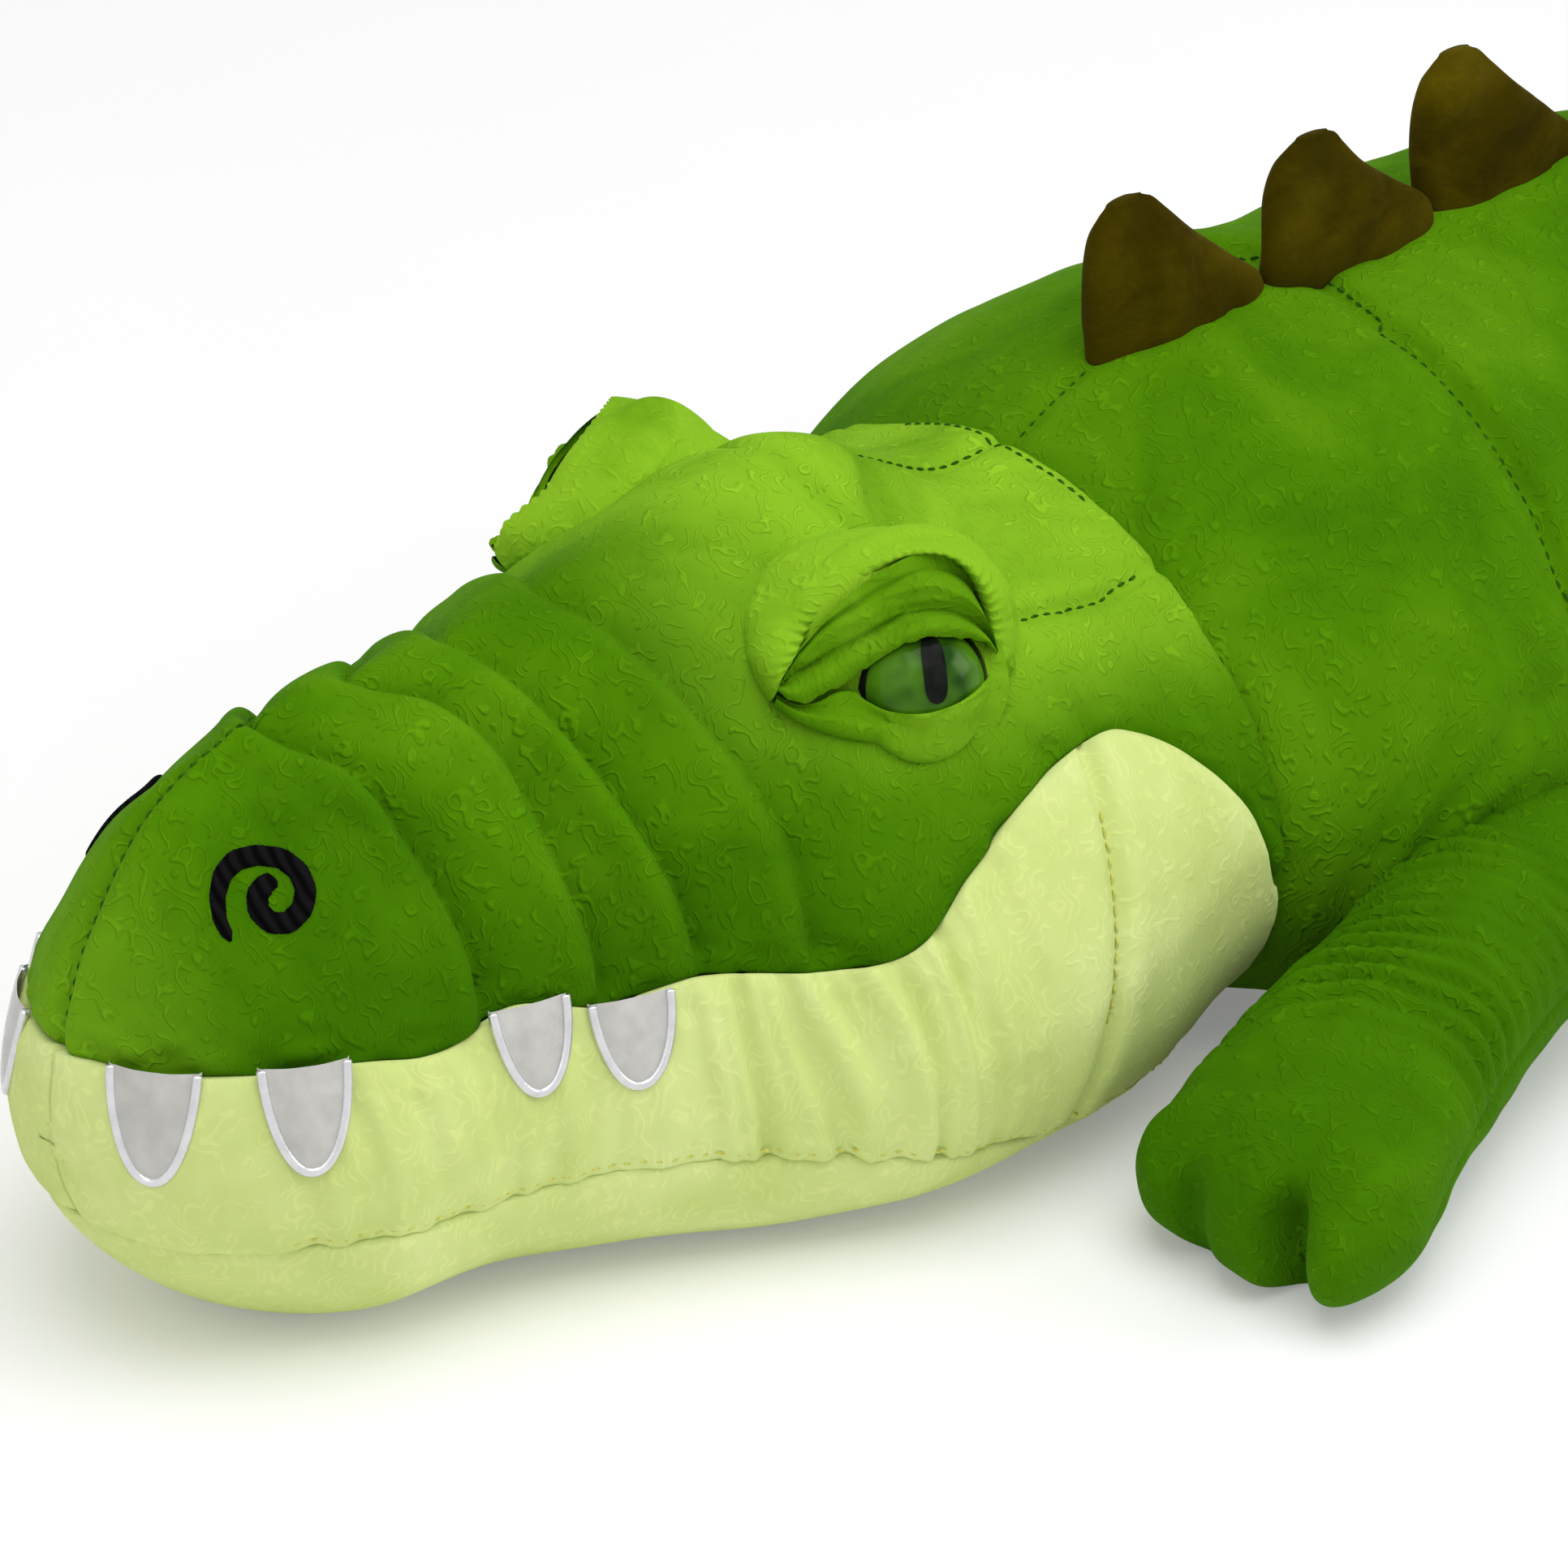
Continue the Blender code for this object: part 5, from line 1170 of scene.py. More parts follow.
def between(first, second, share, out):
    """A line between two others, at its own distances out."""
    spots = first * (1 - share) + second * share
    spots[:, 2] = out
    return spots


def ragged(length, samples, size, seed, row=0.0):
    """Unevenness along an edge."""
    at = np.linspace(0, 1, samples) * length
    return lumps(np.stack([at, row + 0 * at, 0 * at], -1), size, seed)[None]


def brow_rows(head):
    """The gathered roll over the eye: a puffed tube of cloth, sewn down along its inner edge."""
    share = np.linspace(0.0, 1.0, LID_SAMPLES)
    outer = above_head(head, resampled(BROW_OUTER, LID_SAMPLES), -0.0010)
    inner = above_head(head, resampled(BROW_INNER, LID_SAMPLES), 0.0036)
    stops = ((0.0, 0.0035), (0.10, 0.0080), (0.35, 0.0100), (0.60, 0.0080), (0.85, 0.0068), (1.0, 0.0035))
    turn = np.radians(np.linspace(-38.0, 212.0, 60))[:, None]
    place = 0.5 - 0.57 * np.cos(turn)
    rows = outer[None] * (1 - place)[..., None] + inner[None] * place[..., None]
    level = outer[:, 2] * (1 - np.clip(place, 0, 1)) + inner[:, 2] * np.clip(place, 0, 1)
    rows[..., 2] = level + along(stops, share) * np.sign(np.sin(turn)) * np.abs(np.sin(turn)) ** 0.85
    rows = np.concatenate([moved(outer, 0.0, -0.016, 0.95)[None], rows], axis=0)
    at = share[None, :] * 0.105
    row = np.arange(rows.shape[0])[:, None]
    gather = bell(row - 45, 9.0) * waves(at, 0.0031, 1.8 * np.sin(at * 210)) * (0.6 + 0.4 * np.sin(at * 97))
    rows[..., 2] += 0.00085 * gather
    rows[..., :2] *= 1 + 0.010 * gather[..., None]
    rows[..., 2] += 0.0008 * np.sin(at * 83 + 1.0) * np.sin(turn.min() + row * 0.05)
    return rows


def lid_rows(head):
    """The upper lid: out of the brow's seam, over its ridge and down to a ragged sewn edge."""
    inner = above_head(head, resampled(BROW_INNER, LID_SAMPLES), 0.0040)
    ridge = above_head(head, resampled(LID_RIDGE, LID_SAMPLES), 0.0062)
    edge = above_head(head, resampled(LID_EDGE, LID_SAMPLES), 0.0052)
    rows = lofted([
        moved(inner, 0.0, -0.0035),
        between(inner, ridge, 0.20, np.minimum(inner[:, 2], ridge[:, 2]) - 0.0012),
        between(inner, ridge, 0.58, ridge[:, 2] + 0.0012),
        ridge,
        between(ridge, edge, 0.30, (ridge[:, 2] + edge[:, 2]) / 2 - 0.0020),
        between(ridge, edge, 0.62, edge[:, 2] + 0.0008),
        edge,
        moved(edge, 0.0010, -0.0020),
        moved(edge, 0.0040, -0.0060),
    ], [7, 9, 9, 7, 9, 7, 5, 5])
    rows[:50] = over_pad(rows[:50], 0.0024)
    rows[:53] = over_ball(rows[:53], 0.0008)
    row = np.arange(rows.shape[0])[:, None]
    for place, wide, height in LID_FOLDS:
        rows[..., 2] += height * bell(row - place, wide)
    rough = ragged(0.062, LID_SAMPLES, 0.0042, 57)
    finer = ragged(0.062, LID_SAMPLES, 0.0019, 58, 1.0)
    rows[..., 1] += (0.00050 * rough + 0.00020 * finer) * bell(row - 48, 5.0)
    rows[..., 2] += (0.00045 * rough + 0.00030 * finer) * bell(row - 43, 7.0)
    slant = lumps(rows * np.array([1.0, 2.2, 0.2]), 0.012, 59)
    rows[..., 2] += 0.00050 * slant * bell(row - 18, 14.0)
    return rows


def lower_rows(head):
    """The pinched lower lid: a rolled edge, a fold and a skirt that runs back to the cheek."""
    edge = above_head(head, resampled(LOWER_EDGE, LOWER_SAMPLES), 0.0040)
    fold = above_head(head, resampled(LOWER_FOLD, LOWER_SAMPLES), 0.0042)
    bottom = resampled(LOWER_BOTTOM, LOWER_SAMPLES)
    round_ball = -np.sqrt(np.maximum(LOWER_SKIRT_RADIUS**2 - bottom[:, 0] ** 2, 0.0))
    bottom[:, 1] = np.minimum(bottom[:, 1], round_ball)
    bottom = above_head(head, bottom, 0.0006)
    crease = edge * 0.45 + fold * 0.55
    rows = lofted([
        moved(edge, -0.0020, -0.0070), moved(edge, 0.0, -0.0016), edge, moved(crease, 0.0, -0.0014), fold,
        bottom, moved(bottom, 0.0, -0.0100, 0.97),
    ], [6, 4, 8, 8, 10, 8])
    rows[8:] = over_ball(rows[8:], 0.0009)
    row = np.arange(rows.shape[0])[:, None]
    rows[..., 2] += 0.00060 * ragged(0.058, LOWER_SAMPLES, 0.0060, 61) * bell(row - 14, 8.0)
    return rows


def build_brow_pad(label, side):
    """The stuffed mound that carries the lids, a little flatter in front than behind."""
    up = np.linspace(-math.pi / 2, math.pi / 2, 70)[:, None]
    turn = np.linspace(0, ROUND, 110, endpoint=False)[None, :]
    ball = np.stack([np.cos(up) * np.cos(turn), np.cos(up) * np.sin(turn), np.sin(up) + 0 * turn], -1)
    spots = (ball * MOUND_RADII) @ MOUND_TURN.T + MOUND_CENTRE
    depth = (spots - MOUND_CENTRE) @ EYE_OUT
    spots = spots - np.where(depth > 0, depth * (1 - PAD_FLATTENING), 0.0)[..., None] * EYE_OUT
    spots = spots + 0.0005 * lumps(spots, 0.02, 51)[..., None] * EYE_OUT
    grid_piece(f"brow_pad_{label}", spots * mirrored(side), "brow", "head", (f"brow_{label}",),
               True, side < 0)


def cap_band(radius, start, end, rows):
    """Part of a ball about the eye's axis, between two angles from that axis."""
    lean = np.radians(np.linspace(start, end, rows))[:, None]
    turn = np.linspace(0, ROUND, EYE_COLUMNS, endpoint=False)[None, :]
    wide = radius * np.sin(lean)
    return np.stack([wide * np.cos(turn), wide * np.sin(turn), radius * np.cos(lean) + 0 * turn], -1)


def socket_rows():
    """The ring of cloth round the ball."""
    share = np.linspace(0.0, 1.0, 10)[:, None]
    turn = np.linspace(0, ROUND, EYE_COLUMNS, endpoint=False)[None, :]
    wide = SOCKET_INNER_RADIUS + (SOCKET_OUTER_RADIUS - SOCKET_INNER_RADIUS) * share
    height = SOCKET_HEIGHT - share * SOCKET_DROP + 0 * turn
    return np.stack([wide * np.cos(turn), wide * np.sin(turn), height], -1)


def pupil_rows(radius):
    """A vertical slit with blunt ends, laid on the eye's dome."""
    down = np.linspace(-1.0, 1.0, 40)[:, None]
    across = np.linspace(-1.0, 1.0, 14)[None, :]
    v = (PUPIL_TOP + PUPIL_BOTTOM) / 2 + down * (PUPIL_TOP - PUPIL_BOTTOM) / 2 + 0 * across
    u = PUPIL_SHIFT + across * PUPIL_HALF_WIDTH * np.sqrt(np.maximum(1 - down**4, 0.0))
    return np.stack([u, v, np.sqrt(np.maximum(radius**2 - u**2 - v**2, 0.0))], -1)


def build_eye(head, label, side):
    build_brow_pad(label, side)
    patch(f"brow_roll_{label}", brow_rows(head), side, "brow", ())
    patch(f"lid_upper_{label}", lid_rows(head), side, "lid", (f"upper_lid_{label}",))
    patch(f"lid_lower_{label}", lower_rows(head), side, "lid", (f"lower_lid_{label}",))
    ball = cap_band(EYE_RADIUS, BALL_POLE_ANGLE, 82.0, 40)
    ball[..., 2] *= 0.98
    patch(f"eye_dome_{label}", ball, side, "eye", (f"eye_{label}",), True)
    patch(f"eye_rim_{label}", cap_band(EYE_RADIUS * 1.006, 60.0, 78.0, 12), side, "pupil", (), True)
    patch(f"eye_socket_{label}", socket_rows(), side, "lid", (), True)
    patch(f"pupil_{label}", pupil_rows(EYE_RADIUS * 1.012), side, "pupil")


# Nostrils and teeth

NOSTRIL_SHARES = (
    (-0.80, -0.92), (-0.98, -0.45), (-0.98, 0.05), (-0.82, 0.50), (-0.48, 0.82), (0.0, 0.93), (0.48, 0.82),
    (0.82, 0.48), (0.93, 0.05), (0.80, -0.38), (0.48, -0.64), (0.10, -0.60), (-0.14, -0.32), (-0.12, 0.04),
    (0.12, 0.26), (0.34, 0.22),
)
# Teeth from the nose back: share of the head's length, of the width and of the length
TOOTH_SHARES = ((0.045, 1.0, 1.0), (0.13, 0.95, 0.92), (0.315, 0.9, 0.78), (0.395, 0.95, 0.78))
RIM_STEPS = 120


def tube_along(route, radii, normals, sides=14, flatten=1.0):
    """Rings about a route; flatten squeezes them along the listed normals."""
    route = np.asarray(route, float)
    ahead = np.gradient(route, axis=0)
    ahead /= np.linalg.norm(ahead, axis=1, keepdims=True)
    out = normals - (normals * ahead).sum(1, keepdims=True) * ahead
    out /= np.linalg.norm(out, axis=1, keepdims=True)
    beside = np.cross(ahead, out)
    turn = np.linspace(0, ROUND, sides, endpoint=False)[None, :, None]
    ring = np.cos(turn) * beside[:, None] + flatten * np.sin(turn) * out[:, None]
    return route[:, None] + ring * np.asarray(radii)[:, None, None]


def laid_on(surface, route):
    """The route, moved onto the final surface of a sheet, and the surface's directions along it."""
    spots, normals = SURFACES[surface]
    tree = KDTree(len(spots))
    for i, spot in enumerate(spots):
        tree.insert(spot, i)
    tree.balance()
    found = [tree.find(Vector(p)) for p in route]
    line = np.array([hit[0] for hit in found])
    out = np.array([normals[hit[1]] for hit in found])
    line = route + out * ((line - route) * out).sum(1, keepdims=True)
    return softened(line, 2), out


def build_nostril(head, label, side):
    """A thick embroidered curl that lies on the snout, thin where it starts."""
    spot = np.array([NOSTRIL_X, NOSE_Y + NOSTRIL_FROM_TIP, NOSTRIL_HEIGHT])
    out = head.normal(spot)
    across = Vector((0, 0, 1)).cross(out).normalized()
    upward = np.array(out.cross(across).normalized())
    flat = evened(np.column_stack([np.array(NOSTRIL_SHARES), np.zeros(len(NOSTRIL_SHARES))]), 150)
    starts = spot + NOSTRIL_RADIUS * NOSTRIL_SCALE * (flat[:, :1] * np.array(across) + flat[:, 1:2] * upward)
    starts = starts + np.array(out) * NOSE_ROUNDING
    route = head.drop(starts, -out, 2 * NOSE_ROUNDING) * mirrored(side)
    route, around = laid_on("head_top", route)
    share = np.linspace(0.0, 1.0, len(route))
    size = NOSTRIL_THREAD_RADIUS * np.minimum(0.50 + 1.6 * share, 1.0)
    size = size * np.minimum(1.0, np.minimum(share, 1 - share) * 26 + 0.30)
    size = size * (1 + 0.03 * np.sin(share * ROUND * 58))
    rings = tube_along(route, size, around, 16, 0.50)
    capped_piece(f"nostril_spiral_{label}", rings, "black", "head", (f"nostril_{label}",))


def tooth_sheet(head, place, width, length):
    """A pointed sheet laid against the jaw under the lip, its middle top, and the way out of the jaw."""
    y = np.array([-width / 4, width / 4]) + NOSE_Y + HEAD_LENGTH * place
    top = float(mouth_height(y).min()) + 0.0020
    ends = head.points(y, head.angle_at(y, top))
    beside = (ends[1] - ends[0]) * np.array([1.0, 1.0, 0.0])
    beside = np.array(Vector(beside).normalized())
    outwards = np.array([abs(beside[1]), -abs(beside[0]), 0.0])
    down = np.linspace(0.0, 1.0, 46)[:, None] ** 0.8
    across = np.sin(np.linspace(-math.pi / 2, math.pi / 2, 41))[None, :]
    half = width / 2 * np.sqrt(np.maximum(1 - down**1.8, 0.0))
    starts = ends.mean(axis=0) + (across * half)[..., None] * beside + outwards * NOSE_ROUNDING
    starts[..., 2] = top - down * length
    base = head.drop(starts, Vector(-outwards), 2 * NOSE_ROUNDING, 0.0006)
    inside = np.minimum((1 - np.abs(across)) * half, (1 - down) * length * 0.75 + 0 * across)
    return base, inside, ends.mean(axis=0), outwards


def tooth_rim(base, middle, outwards, length):
    """A thread round the edge of a tooth."""
    outline = np.concatenate([base[:, 0], base[::-1, -1]])
    outline = outline[np.concatenate([[True], np.linalg.norm(np.diff(outline, axis=0), axis=1) > 1e-5])]
    inward = middle - np.array([0, 0, length * 0.4])
    drawn = outline + (inward - outline) * np.array([1, 1, 0.6]) * 0.07 + outwards * 0.0007
    sizes = TOOTH_RIM * (1 + 0.02 * np.sin(np.arange(RIM_STEPS) * 2.1))
    return tube_along(evened(drawn, RIM_STEPS), sizes, np.repeat(outwards[None], RIM_STEPS, 0), 12, 0.9)


def build_teeth(head, label, side):
    """Satin teeth under the lip, each with a raised row of silver thread round its edge."""
    for number, (place, wide, long) in enumerate(TOOTH_SHARES, 1):
        length = TOOTH_LENGTH * long
        base, inside, middle, outwards = tooth_sheet(head, place, TOOTH_WIDTH * wide, length)
        lift = TOOTH_LIFT * smooth(inside / 0.0006) + 0.0009 * smooth(inside / 0.008) - 0.0004
        face = (base + outwards * lift[..., None]) * mirrored(side)
        grid_piece(f"tooth_face_{label}_{number}", face, "satin", "head", (f"tooth_{label}_{number}",),
                   flip=side < 0)
        rings = tooth_rim(base, middle, outwards, length) * mirrored(side)
        rings = rings[:, ::-1] if side < 0 else rings
        capped_piece(f"tooth_rim_{label}_{number}", rings, "silver", "head")


# Body, tail and legs

def leg_places(torso):
    """Name, root, heading and side of each leg."""
    rear_half = float(torso.sizes(REAR_LEG_Y, 0.0)[1])
    front = (CHEST_RADIUS - LEG_ROOT_INSET, NECK_PIVOT_Y, 0.0)
    rear = (rear_half - LEG_ROOT_INSET, REAR_LEG_Y, 0.0)
    listed = []
    for label, side in SIDES:
        listed.append((f"front_leg_{label}", front, FRONT_LEG_HEADING, side))
        listed.append((f"rear_leg_{label}", rear, REAR_LEG_HEADING, side))
    return listed


def wrinkle_rings(rows, centre):
    """Creases that run round a place where a leg is sewn on."""
    away = np.linalg.norm(rows - np.array(centre), axis=-1)
    return 0.0011 * waves(away, 0.016, 2.2 * lumps(rows, 0.05, 64)) * smooth((0.085 - away) / (0.085 * 0.6))


def back_relief(torso):
    """The seam along the spine, the seam behind the neck, creases at the legs and soft lumps."""

    def relief(rows):
        x, y = rows[..., 0], rows[..., 1]
        calm = smooth((RUMP_Y - CALM_START - y) / CALM_LENGTH) * smooth((y - NECK_Y) / NECK_CALM)
        change = (0.0022 * lumps(rows, 0.085, 61) + 0.0007 * lumps(rows, 0.03, 62)) * calm
        change = change + edge_groove(rows, 1.0, 0.0, 63)
        across = y - PANEL_SEAM_Y + PANEL_SEAM_SLOPE * np.abs(x)
        seam = bell(across, np.where(across < 0, 0.0050, 0.0022))
        change = change - 0.0030 * seam + 0.0012 * bell(across - 0.009, 0.007)
        change = change - 0.0020 * bell(x, 0.0022) * smooth((SPINE_SEAM_END - y) / 0.01)
        for _, root, _, side in leg_places(torso):
            change = change + wrinkle_rings(rows, (root[0] * side, root[1], LEG_ROOT_LEVEL))
        return change

    return relief


def belly_relief(rows):
    """Soft lumps and a sewn edge, which lies under the green hem near the neck."""
    hidden = 0.0030 * (1 - smooth((rows[..., 1] - NECK_Y - HEM_DROP_END * 0.6) / (HEM_DROP_END / 2)))
    return 0.0012 * lumps(rows, 0.07, 71) + edge_groove(rows, 1.0, 0.0, 72) - hidden


def hem_height(y):
    share = smooth((y - NECK_Y - HEM_DROP_END / 2) / (HEM_DROP_END / 2))
    return HEM_FRONT_HEIGHT + (BELLY_SEAM_HEIGHT - HEM_FRONT_HEIGHT) * share


def build_torso(torso):
    stations = even_rows(NECK_Y - COLLAR_DEPTH, RUMP_Y + COLLAR_DEPTH)
    hem = seam_angle(torso, hem_height, 0.0)
    back = fans(torso, stations, hem, over(hem), 200)
    sheet("back", torso, back, back_relief(torso), "green", "torso", ("back_panel", "torso_stuffing"))
    seam = seam_angle(torso, lambda y: BELLY_SEAM_HEIGHT, 0.0)
    belly = fans(torso, stations[::2], over(seam), under(seam), 90)
    sheet("belly", torso, belly, belly_relief, "pale", "torso", ("belly_panel",))


def ring_rows(form, stations, columns):
    angles = np.linspace(-math.pi / 2, 1.5 * math.pi, columns, endpoint=False)[None, :]
    return form.points(np.asarray(stations, float)[:, None], angles)


def tail_relief(seed, start):
    """Side seams, a seam along the ridge, and rings of slack cloth."""

    def relief(rows):
        x, y, z = np.moveaxis(rows, -1, 0)
        change = 0.0014 * lumps(rows, 0.06, seed)
        change = change + 0.0010 * waves(y, 0.034, 2.0 * lumps(rows, 0.09, seed + 1))
        change = change - 0.0016 * bell(x, 0.0026) - 0.0018 * bell(z - 0.020, 0.0024)
        return change * smooth((y - start) / CALM_LENGTH)

    return relief


def closing_stations(start, end, rounding, power, straight, curved):
    """Stations up to a rounded end, even along the body and then even in how far the end has closed."""
    even = np.linspace(start, end - rounding, straight)
    closed = np.cos(np.linspace(0.0, math.pi / 2, curved))[1:-1]
    share = (1 - closed**power) ** (1 / power)
    return np.concatenate([even, end - rounding * (1 - share), [end - rounding * 1e-9]])


def build_tail(base, tip):
    base_rows = ring_rows(base, even_rows(RUMP_Y, TAIL_SPLIT_Y + TAIL_COLLAR_DEPTH), 150)
    stations = closing_stations(TAIL_SPLIT_Y, TAIL_END_Y, TAIL_END_ROUNDING, tip.rounding_power, 110, 50)
    tip_rows = ring_rows(tip, stations, 120)
    for name, form, rows, seed, start, pointed in (
        ("tail_base", base, base_rows, 81, RUMP_Y, False),
        ("tail_tip", tip, tip_rows, 86, TAIL_SPLIT_Y, True),
    ):
        hidden = (f"{name}_skin", f"{name}_stuffing")
        relief = tail_relief(seed, start)
        sheet(name, form, rows, relief, "green", name, hidden, closed=True, pointed=pointed)


# Toes across the paw, in shares of its half width, and their lengths and gaps in shares of the notch
TOE_GROOVES = ((0.36, 0.55), (-0.34, 1.25))
TOE_CRESTS = ((0.78, 0.15), (0.01, 0.05), (-0.76, 0.55))


def leg_relief(rows, level):
    """Slack creases at the elbow, drawn cloth on the paw and a seam down each side."""
    x, y, z = np.moveaxis(rows, -1, 0)
    top = smooth((z - level + 0.004) / 0.014)
    change = 0.0011 * lumps(rows, 0.045, 91) + 0.0005 * lumps(rows, 0.018, 94)
    inner_side = 0.35 + 0.65 * smooth((x + 0.012) / 0.03)
    elbow = (bell(y - 0.082, 0.020) + 0.5 * bell(y - 0.035, 0.016)) * top * inner_side
    bent = y - 0.42 * (x + 0.01) + 3.0 * (x + 0.01) ** 2
    crease = np.minimum(waves(bent, ELBOW_CREASE_PITCH, 1.7 * lumps(rows, 0.05, 92)), 0.25)
    pull = waves(x * 0.9 - y * 0.25, 0.016, 2.0 * lumps(rows, 0.06, 95))
    seam = bell(z - level + 0.004, 0.0020) * smooth((y - 0.01) / 0.03)
    seam = seam * smooth((LEG_LENGTH - 0.02 - y) / 0.02)
    change = change + ELBOW_CREASE_DEPTH * elbow * crease
    return change + 0.0005 * pull * smooth((y - 0.06) / 0.03) * top - 0.0014 * seam


def shaped_leg(leg):
    """The leg at rest along +Y: creased cloth, a flat paw and three short toes at its rim."""
    start = -LEG_ROOT_RADIUS * 0.93
    stations = closing_stations(start, LEG_LENGTH, PAW_ROUNDING, leg.rounding_power, 120, 70)
    rows = ring_rows(leg, stations, 190)
    normals = outward(rows, grid_normals(rows, True), leg)
    normals[-2:] = AHEAD
    x, y, z = np.moveaxis(rows, -1, 0)
    level = leg.level(y)
    shaped = rows + normals * leg_relief(rows, level)[..., None]
    across = x / PAW_HALF_WIDTH
    top = smooth((z - level + 0.004) / 0.014)
    tip = smooth((y - LEG_LENGTH + PAW_ROUNDING * 0.70) / (PAW_ROUNDING * 0.65))
    reach = smooth((y - LEG_LENGTH + PAW_ROUNDING * 0.95) / (PAW_ROUNDING * 0.55))
    low = 1 - 0.80 * smooth((z - PAW_LEVEL) / (0.8 * PAW_RISE))
    for place, gap in TOE_GROOVES:
        shaped[..., 1] -= TOE_NOTCH * gap * bell(across - place, 0.13) * tip * low
        shaped[..., 2] -= 0.0009 * bell(across - place, 0.07) * reach * top
    for place, length in TOE_CRESTS:
        near = bell(across - place, 0.19)
        shaped[..., 1] += TOE_NOTCH * length * near * tip * low
        shaped[..., 2] += 0.0010 * near * reach * top
        fold = waves(y - 0.7 * np.abs(x - place * PAW_HALF_WIDTH), 0.0055, 3 * place)
        shaped[..., 2] += 0.0008 * np.minimum(fold, 0.3) * bell(across - place, 0.18) * tip * top
    shaped[..., 1] -= 0.0055 * across * tip
    droop = smooth((y - LEG_LENGTH + PAW_ROUNDING) / PAW_ROUNDING)
    shaped[..., 2] -= 0.0030 * droop * top * (1 - 0.5 * bell(across, 0.5))
    return pressed(shaped)


def build_legs(torso, leg):
    shaped = shaped_leg(leg)
    vertices = with_poles(shaped)
    for name, root, heading, side in leg_places(torso):
        turn = math.radians(heading) - math.pi / 2
        mirror = Matrix.Scale(side, 4, Vector((1, 0, 0)))
        place = np.array(mirror @ Matrix.Translation(Vector(root)) @ Matrix.Rotation(turn, 4, "Z"))
        spots = vertices @ place[:3, :3].T + place[:3, 3]
        faces = capped(*shaped.shape[:2], side < 0)
        piece(name, spots, faces, "leg", name, (f"{name}_skin", f"{name}_stuffing"))


# Back fins. Outline: (share of the height, front edge, rear edge), the edges in shares of the length

SPIKE_OUTLINE_SHARES = (
    (0.0, 0.0, 1.0), (0.3, -0.035, 0.975), (0.5, -0.04, 0.765), (0.72, -0.02, 0.53), (0.88, 0.02, 0.40),
    (0.96, 0.07, 0.34), (1.0, 0.115, 0.285),
)
SPIKE_BULGE_SHARES = ((0.0, 0.95), (0.3, 1.0), (0.6, 0.85), (0.85, 0.55), (1.0, 0.14))
# Rows of fins: name, first station, last station, count, size of the first and of the last, body
SPIKE_ROWS = (
    ("back_spike", NECK_Y + 0.52 * SPIKE_LENGTH, RUMP_Y - 0.35 * SPIKE_LENGTH, 7, 1.0, 1.0, "torso"),
    ("tail_base_spike", RUMP_Y + 0.15 * SPIKE_LENGTH, TAIL_SPLIT_Y - 0.25 * SPIKE_LENGTH, 3, 0.85, 0.72,
     "tail_base"),
    ("tail_tip_spike", TAIL_SPLIT_Y + 0.15 * SPIKE_LENGTH, TAIL_END_Y - TAIL_END_ROUNDING, 4, 0.65, 0.4,
     "tail_tip"),
)


def build_spike(name, form, start, length, height, lean, body):
    """A lightly filled velvet fin with pulled creases and a sewn edge."""
    outline = np.array(SPIKE_OUTLINE_SHARES)
    up = 1 - (1 - np.linspace(0.0, 1.0, 46)[:, None]) ** 1.25
    front = along(outline[:, [0, 1]], up)
    rear = along(outline[:, [0, 2]], up)
    turn = np.linspace(0, ROUND, 72, endpoint=False)[None, :]
    y = start + length * ((rear + front) / 2 + (rear - front) / 2 * np.cos(turn))
    half = SPIKE_HALF_THICKNESS * height / SPIKE_HEIGHT * along(SPIKE_BULGE_SHARES, up)
    x = half * np.sign(np.sin(turn)) * np.abs(np.sin(turn)) ** 0.85 + lean * up * height
    z = form.points(y, math.pi / 2)[..., 2] - SPIKE_SINK + up * (height + SPIKE_SINK)
    spots = np.stack([x, y, z], -1)
    seed = 101 + int(start * 1000) % 13
    wave = waves(z * 0.5 - (y - start), 0.021, 2.6 * lumps(spots, 0.04, seed))
    creases = 0.0017 * np.minimum(wave, 0.3) * np.sin(turn) * smooth(up / 0.5)
    spots[..., 0] += creases + 0.0022 * lumps(spots, 0.05, seed + 17)
    capped_piece(f"{name}_fin", spots, "olive", body, (name,))


def build_spikes(forms):
    for label, start, end, count, first_size, last_size, body in SPIKE_ROWS:
        pitch = (end - start) / count
        for i in range(count):
            size = first_size + (last_size - first_size) * i / (count - 1)
            lean = 0.1 if i % 2 else -0.08
            build_spike(f"{label}_{i + 1}", forms[body], start + pitch * i, pitch - SPIKE_GAP,
                        SPIKE_HEIGHT * size, lean, body)


# Stitches

def sewn(name, surface, route, look, body, lift=0.0):
    """Short separate stitches, each a small capsule, on the final surface of a sheet under a rough route."""
    route, normals = laid_on(surface, route)
    length = walked(route)
    arch = np.sin(np.linspace(0, math.pi, 7))
    vertices, faces = [], []
    place = STITCH_PITCH / 2
    while place + STITCH_LENGTH < length[-1]:
        spots = np.linspace(place, place + STITCH_LENGTH, 7)
        out = read_off(spots, length, normals)
        line = read_off(spots, length, route)
        line = line + out * (lift + STITCH_RADIUS * arch - STITCH_RADIUS * 0.5)[:, None]
        base = len(vertices)
        vertices.extend(tube_along(line, STITCH_RADIUS * (0.35 + 0.65 * arch), out, 8).reshape(-1, 3))
        faces.extend(tuple(int(v) + base for v in f) for f in grid_faces(7, 8, closed=True))
        place += STITCH_PITCH
    piece(name, vertices, faces, look, body)


def ridge_stitches(name, surface, form, start, end, count, body):
    """Stitches along the top of a form."""
    y = np.linspace(start, end, count)
    sewn(name, surface, form.points(y, math.pi / 2), "seam", body)


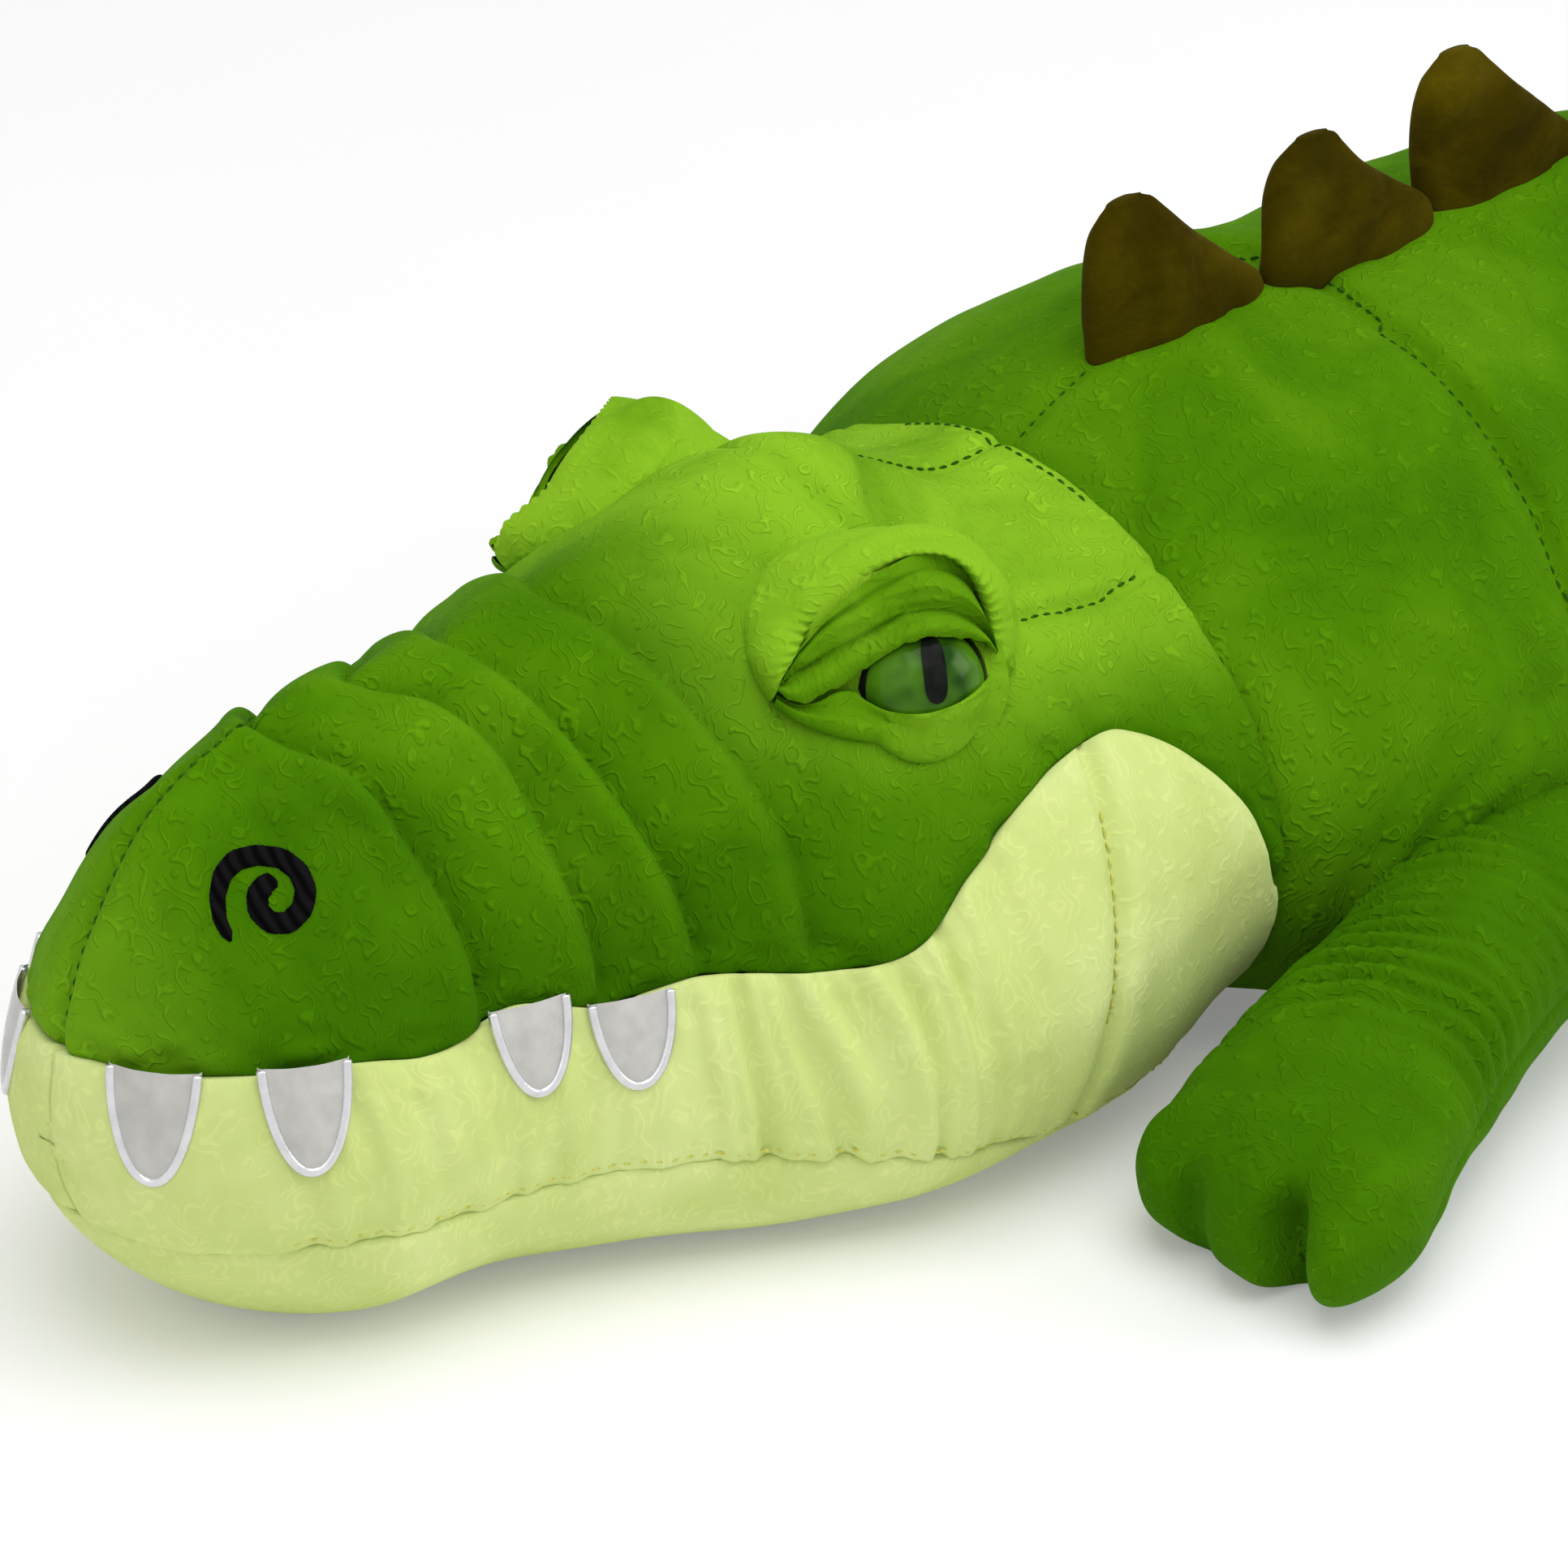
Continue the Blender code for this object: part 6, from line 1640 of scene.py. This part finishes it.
def build_stitches(torso, head):
    """Visible thread along the nose, crown, neck, darts, cheeks and the body's seams."""
    ridge_stitches("nose_stitches", "head_top", head, NOSE_Y + 0.004, NOSE_Y + 0.062, 60, "head")
    crown = NECK_Y - CROWN_SEAM_LENGTH
    ridge_stitches("crown_stitches", "head_top", head, crown + 0.008, NECK_Y - 0.002, 60, "head")
    angles = np.linspace(1.10, math.pi - 1.10, 120)
    sewn("neck_stitches", "head_top", head.points(NECK_Y - 0.003, angles), "seam", "head")
    angles = np.linspace(0.20, math.pi - 0.20, 240)
    across = np.abs(np.cos(angles)) * CHEST_RADIUS
    seam = torso.points(PANEL_SEAM_Y - PANEL_SEAM_SLOPE * across, angles)
    sewn("back_seam_stitches", "back", seam, "seam", "torso")
    ridge_stitches("spine_stitches", "back", torso, NECK_Y + 0.004, SPINE_SEAM_END - 0.002, 40, "torso")
    y = np.linspace(NECK_Y - DART_LENGTH + 0.006, NECK_Y - 0.004, 40)
    dart = np.array([head.drop(np.array([DART_X, spot, 0.2]), (0, 0, -1), 0.19) for spot in y])
    z = np.linspace(0.045, 0.096, 50)
    y = CHEEK_SEAM_Y + CHEEK_SEAM_SLOPE * (z - 0.1)
    cheek = head.points(y, head.angle_at(y, z))
    y = np.linspace(NOSE_Y + 0.03, NECK_Y - 0.02, 200)
    chin = head.points(y, head.angle_at(y, chin_height(y) + 0.0022))
    for label, side in SIDES:
        jaw = f"jaw_{label}"
        sewn(f"dart_stitches_{label}", "head_top", dart * mirrored(side), "seam", "head")
        sewn(f"cheek_stitches_{label}", jaw, cheek * mirrored(side), "seam_pale", "head", -0.0002)
        sewn(f"chin_stitches_{label}", jaw, chin * mirrored(side), "seam_pale", "head", -0.0003)


# Stage

FLOOR_SIZE = 30.0
FLOOR_NEAR = 1.1
FLOOR_FAR = 2.6
FLOOR_LIFT = 0.22
WHITE = (1.0, 1.0, 1.0, 1.0)
WORLD_STRENGTH = 0.50
# Lamps: name, place, aim, power and size
LAMPS = (
    ("key", (0.55, -0.45, 2.45), (0.0, -0.2, 0.05), 44.0, 2.4),
    ("front", (0.6, -2.4, 1.5), (0.0, -0.3, 0.05), 5.0, 1.6),
    ("side", (1.6, 1.5, 1.2), (0.0, -0.2, 0.05), 16.0, 1.2),
)
CAMERA_PLACE = (0.9995, -1.2489, 0.7642)
CAMERA_TURN = (62.64, 0.0, 48.43)
CAMERA_LENS = 139.75


def seen_directly(tree):
    """1 for camera, glossy and transmission rays, otherwise 0."""
    path = node(tree, "ShaderNodeLightPath").outputs
    last = path["Is Camera Ray"]
    for kind in ("Is Glossy Ray", "Is Transmission Ray"):
        last = node(tree, "ShaderNodeMath", {0: last, 1: path[kind]}, operation="MAXIMUM").outputs[0]
    return last


def lightened(tree, share, first, kind, output):
    """Mixes a shader with plain white light by a share, into the tree's output."""
    white = node(tree, kind, {"Color": WHITE, "Strength": 1.0}).outputs[0]
    mix = node(tree, "ShaderNodeMixShader", {"Fac": share, 1: first, 2: white}).outputs["Shader"]
    tree.links.new(mix, tree.nodes[output].inputs["Surface"])


def build_floor():
    """A white floor that fades into the white background far off, and keeps the object's shadow."""
    mesh = bpy.data.meshes.new("floor")
    corners = [(x * FLOOR_SIZE, y * FLOOR_SIZE, 0) for x, y in ((-1, -1), (1, -1), (1, 1), (-1, 1))]
    mesh.from_pydata(corners, [], [(0, 1, 2, 3)])
    floor = bpy.data.objects.new("floor", mesh)
    bpy.context.scene.collection.objects.link(floor)
    made = speckled("floor_white", 3.0, ((0.3, 0.93), (0.7, 0.95)), None, {"Roughness": 0.9})
    tree = made.node_tree
    place = node(tree, "ShaderNodeTexCoord").outputs["Object"]
    length = node(tree, "ShaderNodeVectorMath", {0: place}, operation="LENGTH").outputs["Value"]
    share = product(tree, eased(tree, length, FLOOR_NEAR, FLOOR_FAR, FLOOR_LIFT), seen_directly(tree))
    shader = tree.nodes["Principled BSDF"].outputs["BSDF"]
    lightened(tree, share, shader, "ShaderNodeEmission", "Material Output")
    mesh.materials.append(made)


def build_world():
    world = bpy.data.worlds.new("studio")
    bpy.context.scene.world = world
    world.use_nodes = True
    tree = world.node_tree
    light = tree.nodes["Background"]
    light.inputs["Color"].default_value = WHITE
    light.inputs["Strength"].default_value = WORLD_STRENGTH
    lightened(tree, seen_directly(tree), light.outputs[0], "ShaderNodeBackground", "World Output")


def build_lamps():
    for name, spot, aim, power, width in LAMPS:
        data = bpy.data.lights.new(name, "AREA")
        data.energy = power
        data.size = width
        lamp = bpy.data.objects.new(name, data)
        bpy.context.scene.collection.objects.link(lamp)
        lamp.location = spot
        lamp.rotation_euler = (Vector(aim) - Vector(spot)).to_track_quat("-Z", "Y").to_euler()


def build_camera():
    """The photograph's viewpoint."""
    data = bpy.data.cameras.new("photo_camera")
    camera = bpy.data.objects.new("photo_camera", data)
    bpy.context.scene.collection.objects.link(camera)
    camera.location = CAMERA_PLACE
    camera.rotation_euler = [math.radians(angle) for angle in CAMERA_TURN]
    data.lens = CAMERA_LENS
    data.sensor_width = 36.0
    data.clip_start = 0.05
    data.clip_end = 60.0
    bpy.context.scene.camera = camera


def main():
    torso = torso_form()
    head = head_form(torso)
    base = tail_base_form(torso)
    tip = tail_tip_form(base)
    build_floor()
    build_world()
    build_lamps()
    build_camera()
    bpy.context.scene.view_settings.view_transform = "Standard"
    build_head_top(head)
    build_jaws(head)
    build_chin(head)
    for label, side in SIDES:
        build_eye(head, label, side)
        build_nostril(head, label, side)
        build_teeth(head, label, side)
        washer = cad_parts[f"eye_washer_{label}"]
        washer.data.materials.clear()
        washer.data.materials.append(MATERIALS["washer"])
    build_torso(torso)
    build_tail(base, tip)
    build_legs(torso, leg_form())
    build_spikes({"torso": torso, "tail_base": base, "tail_tip": tip})
    build_stitches(torso, head)


main()
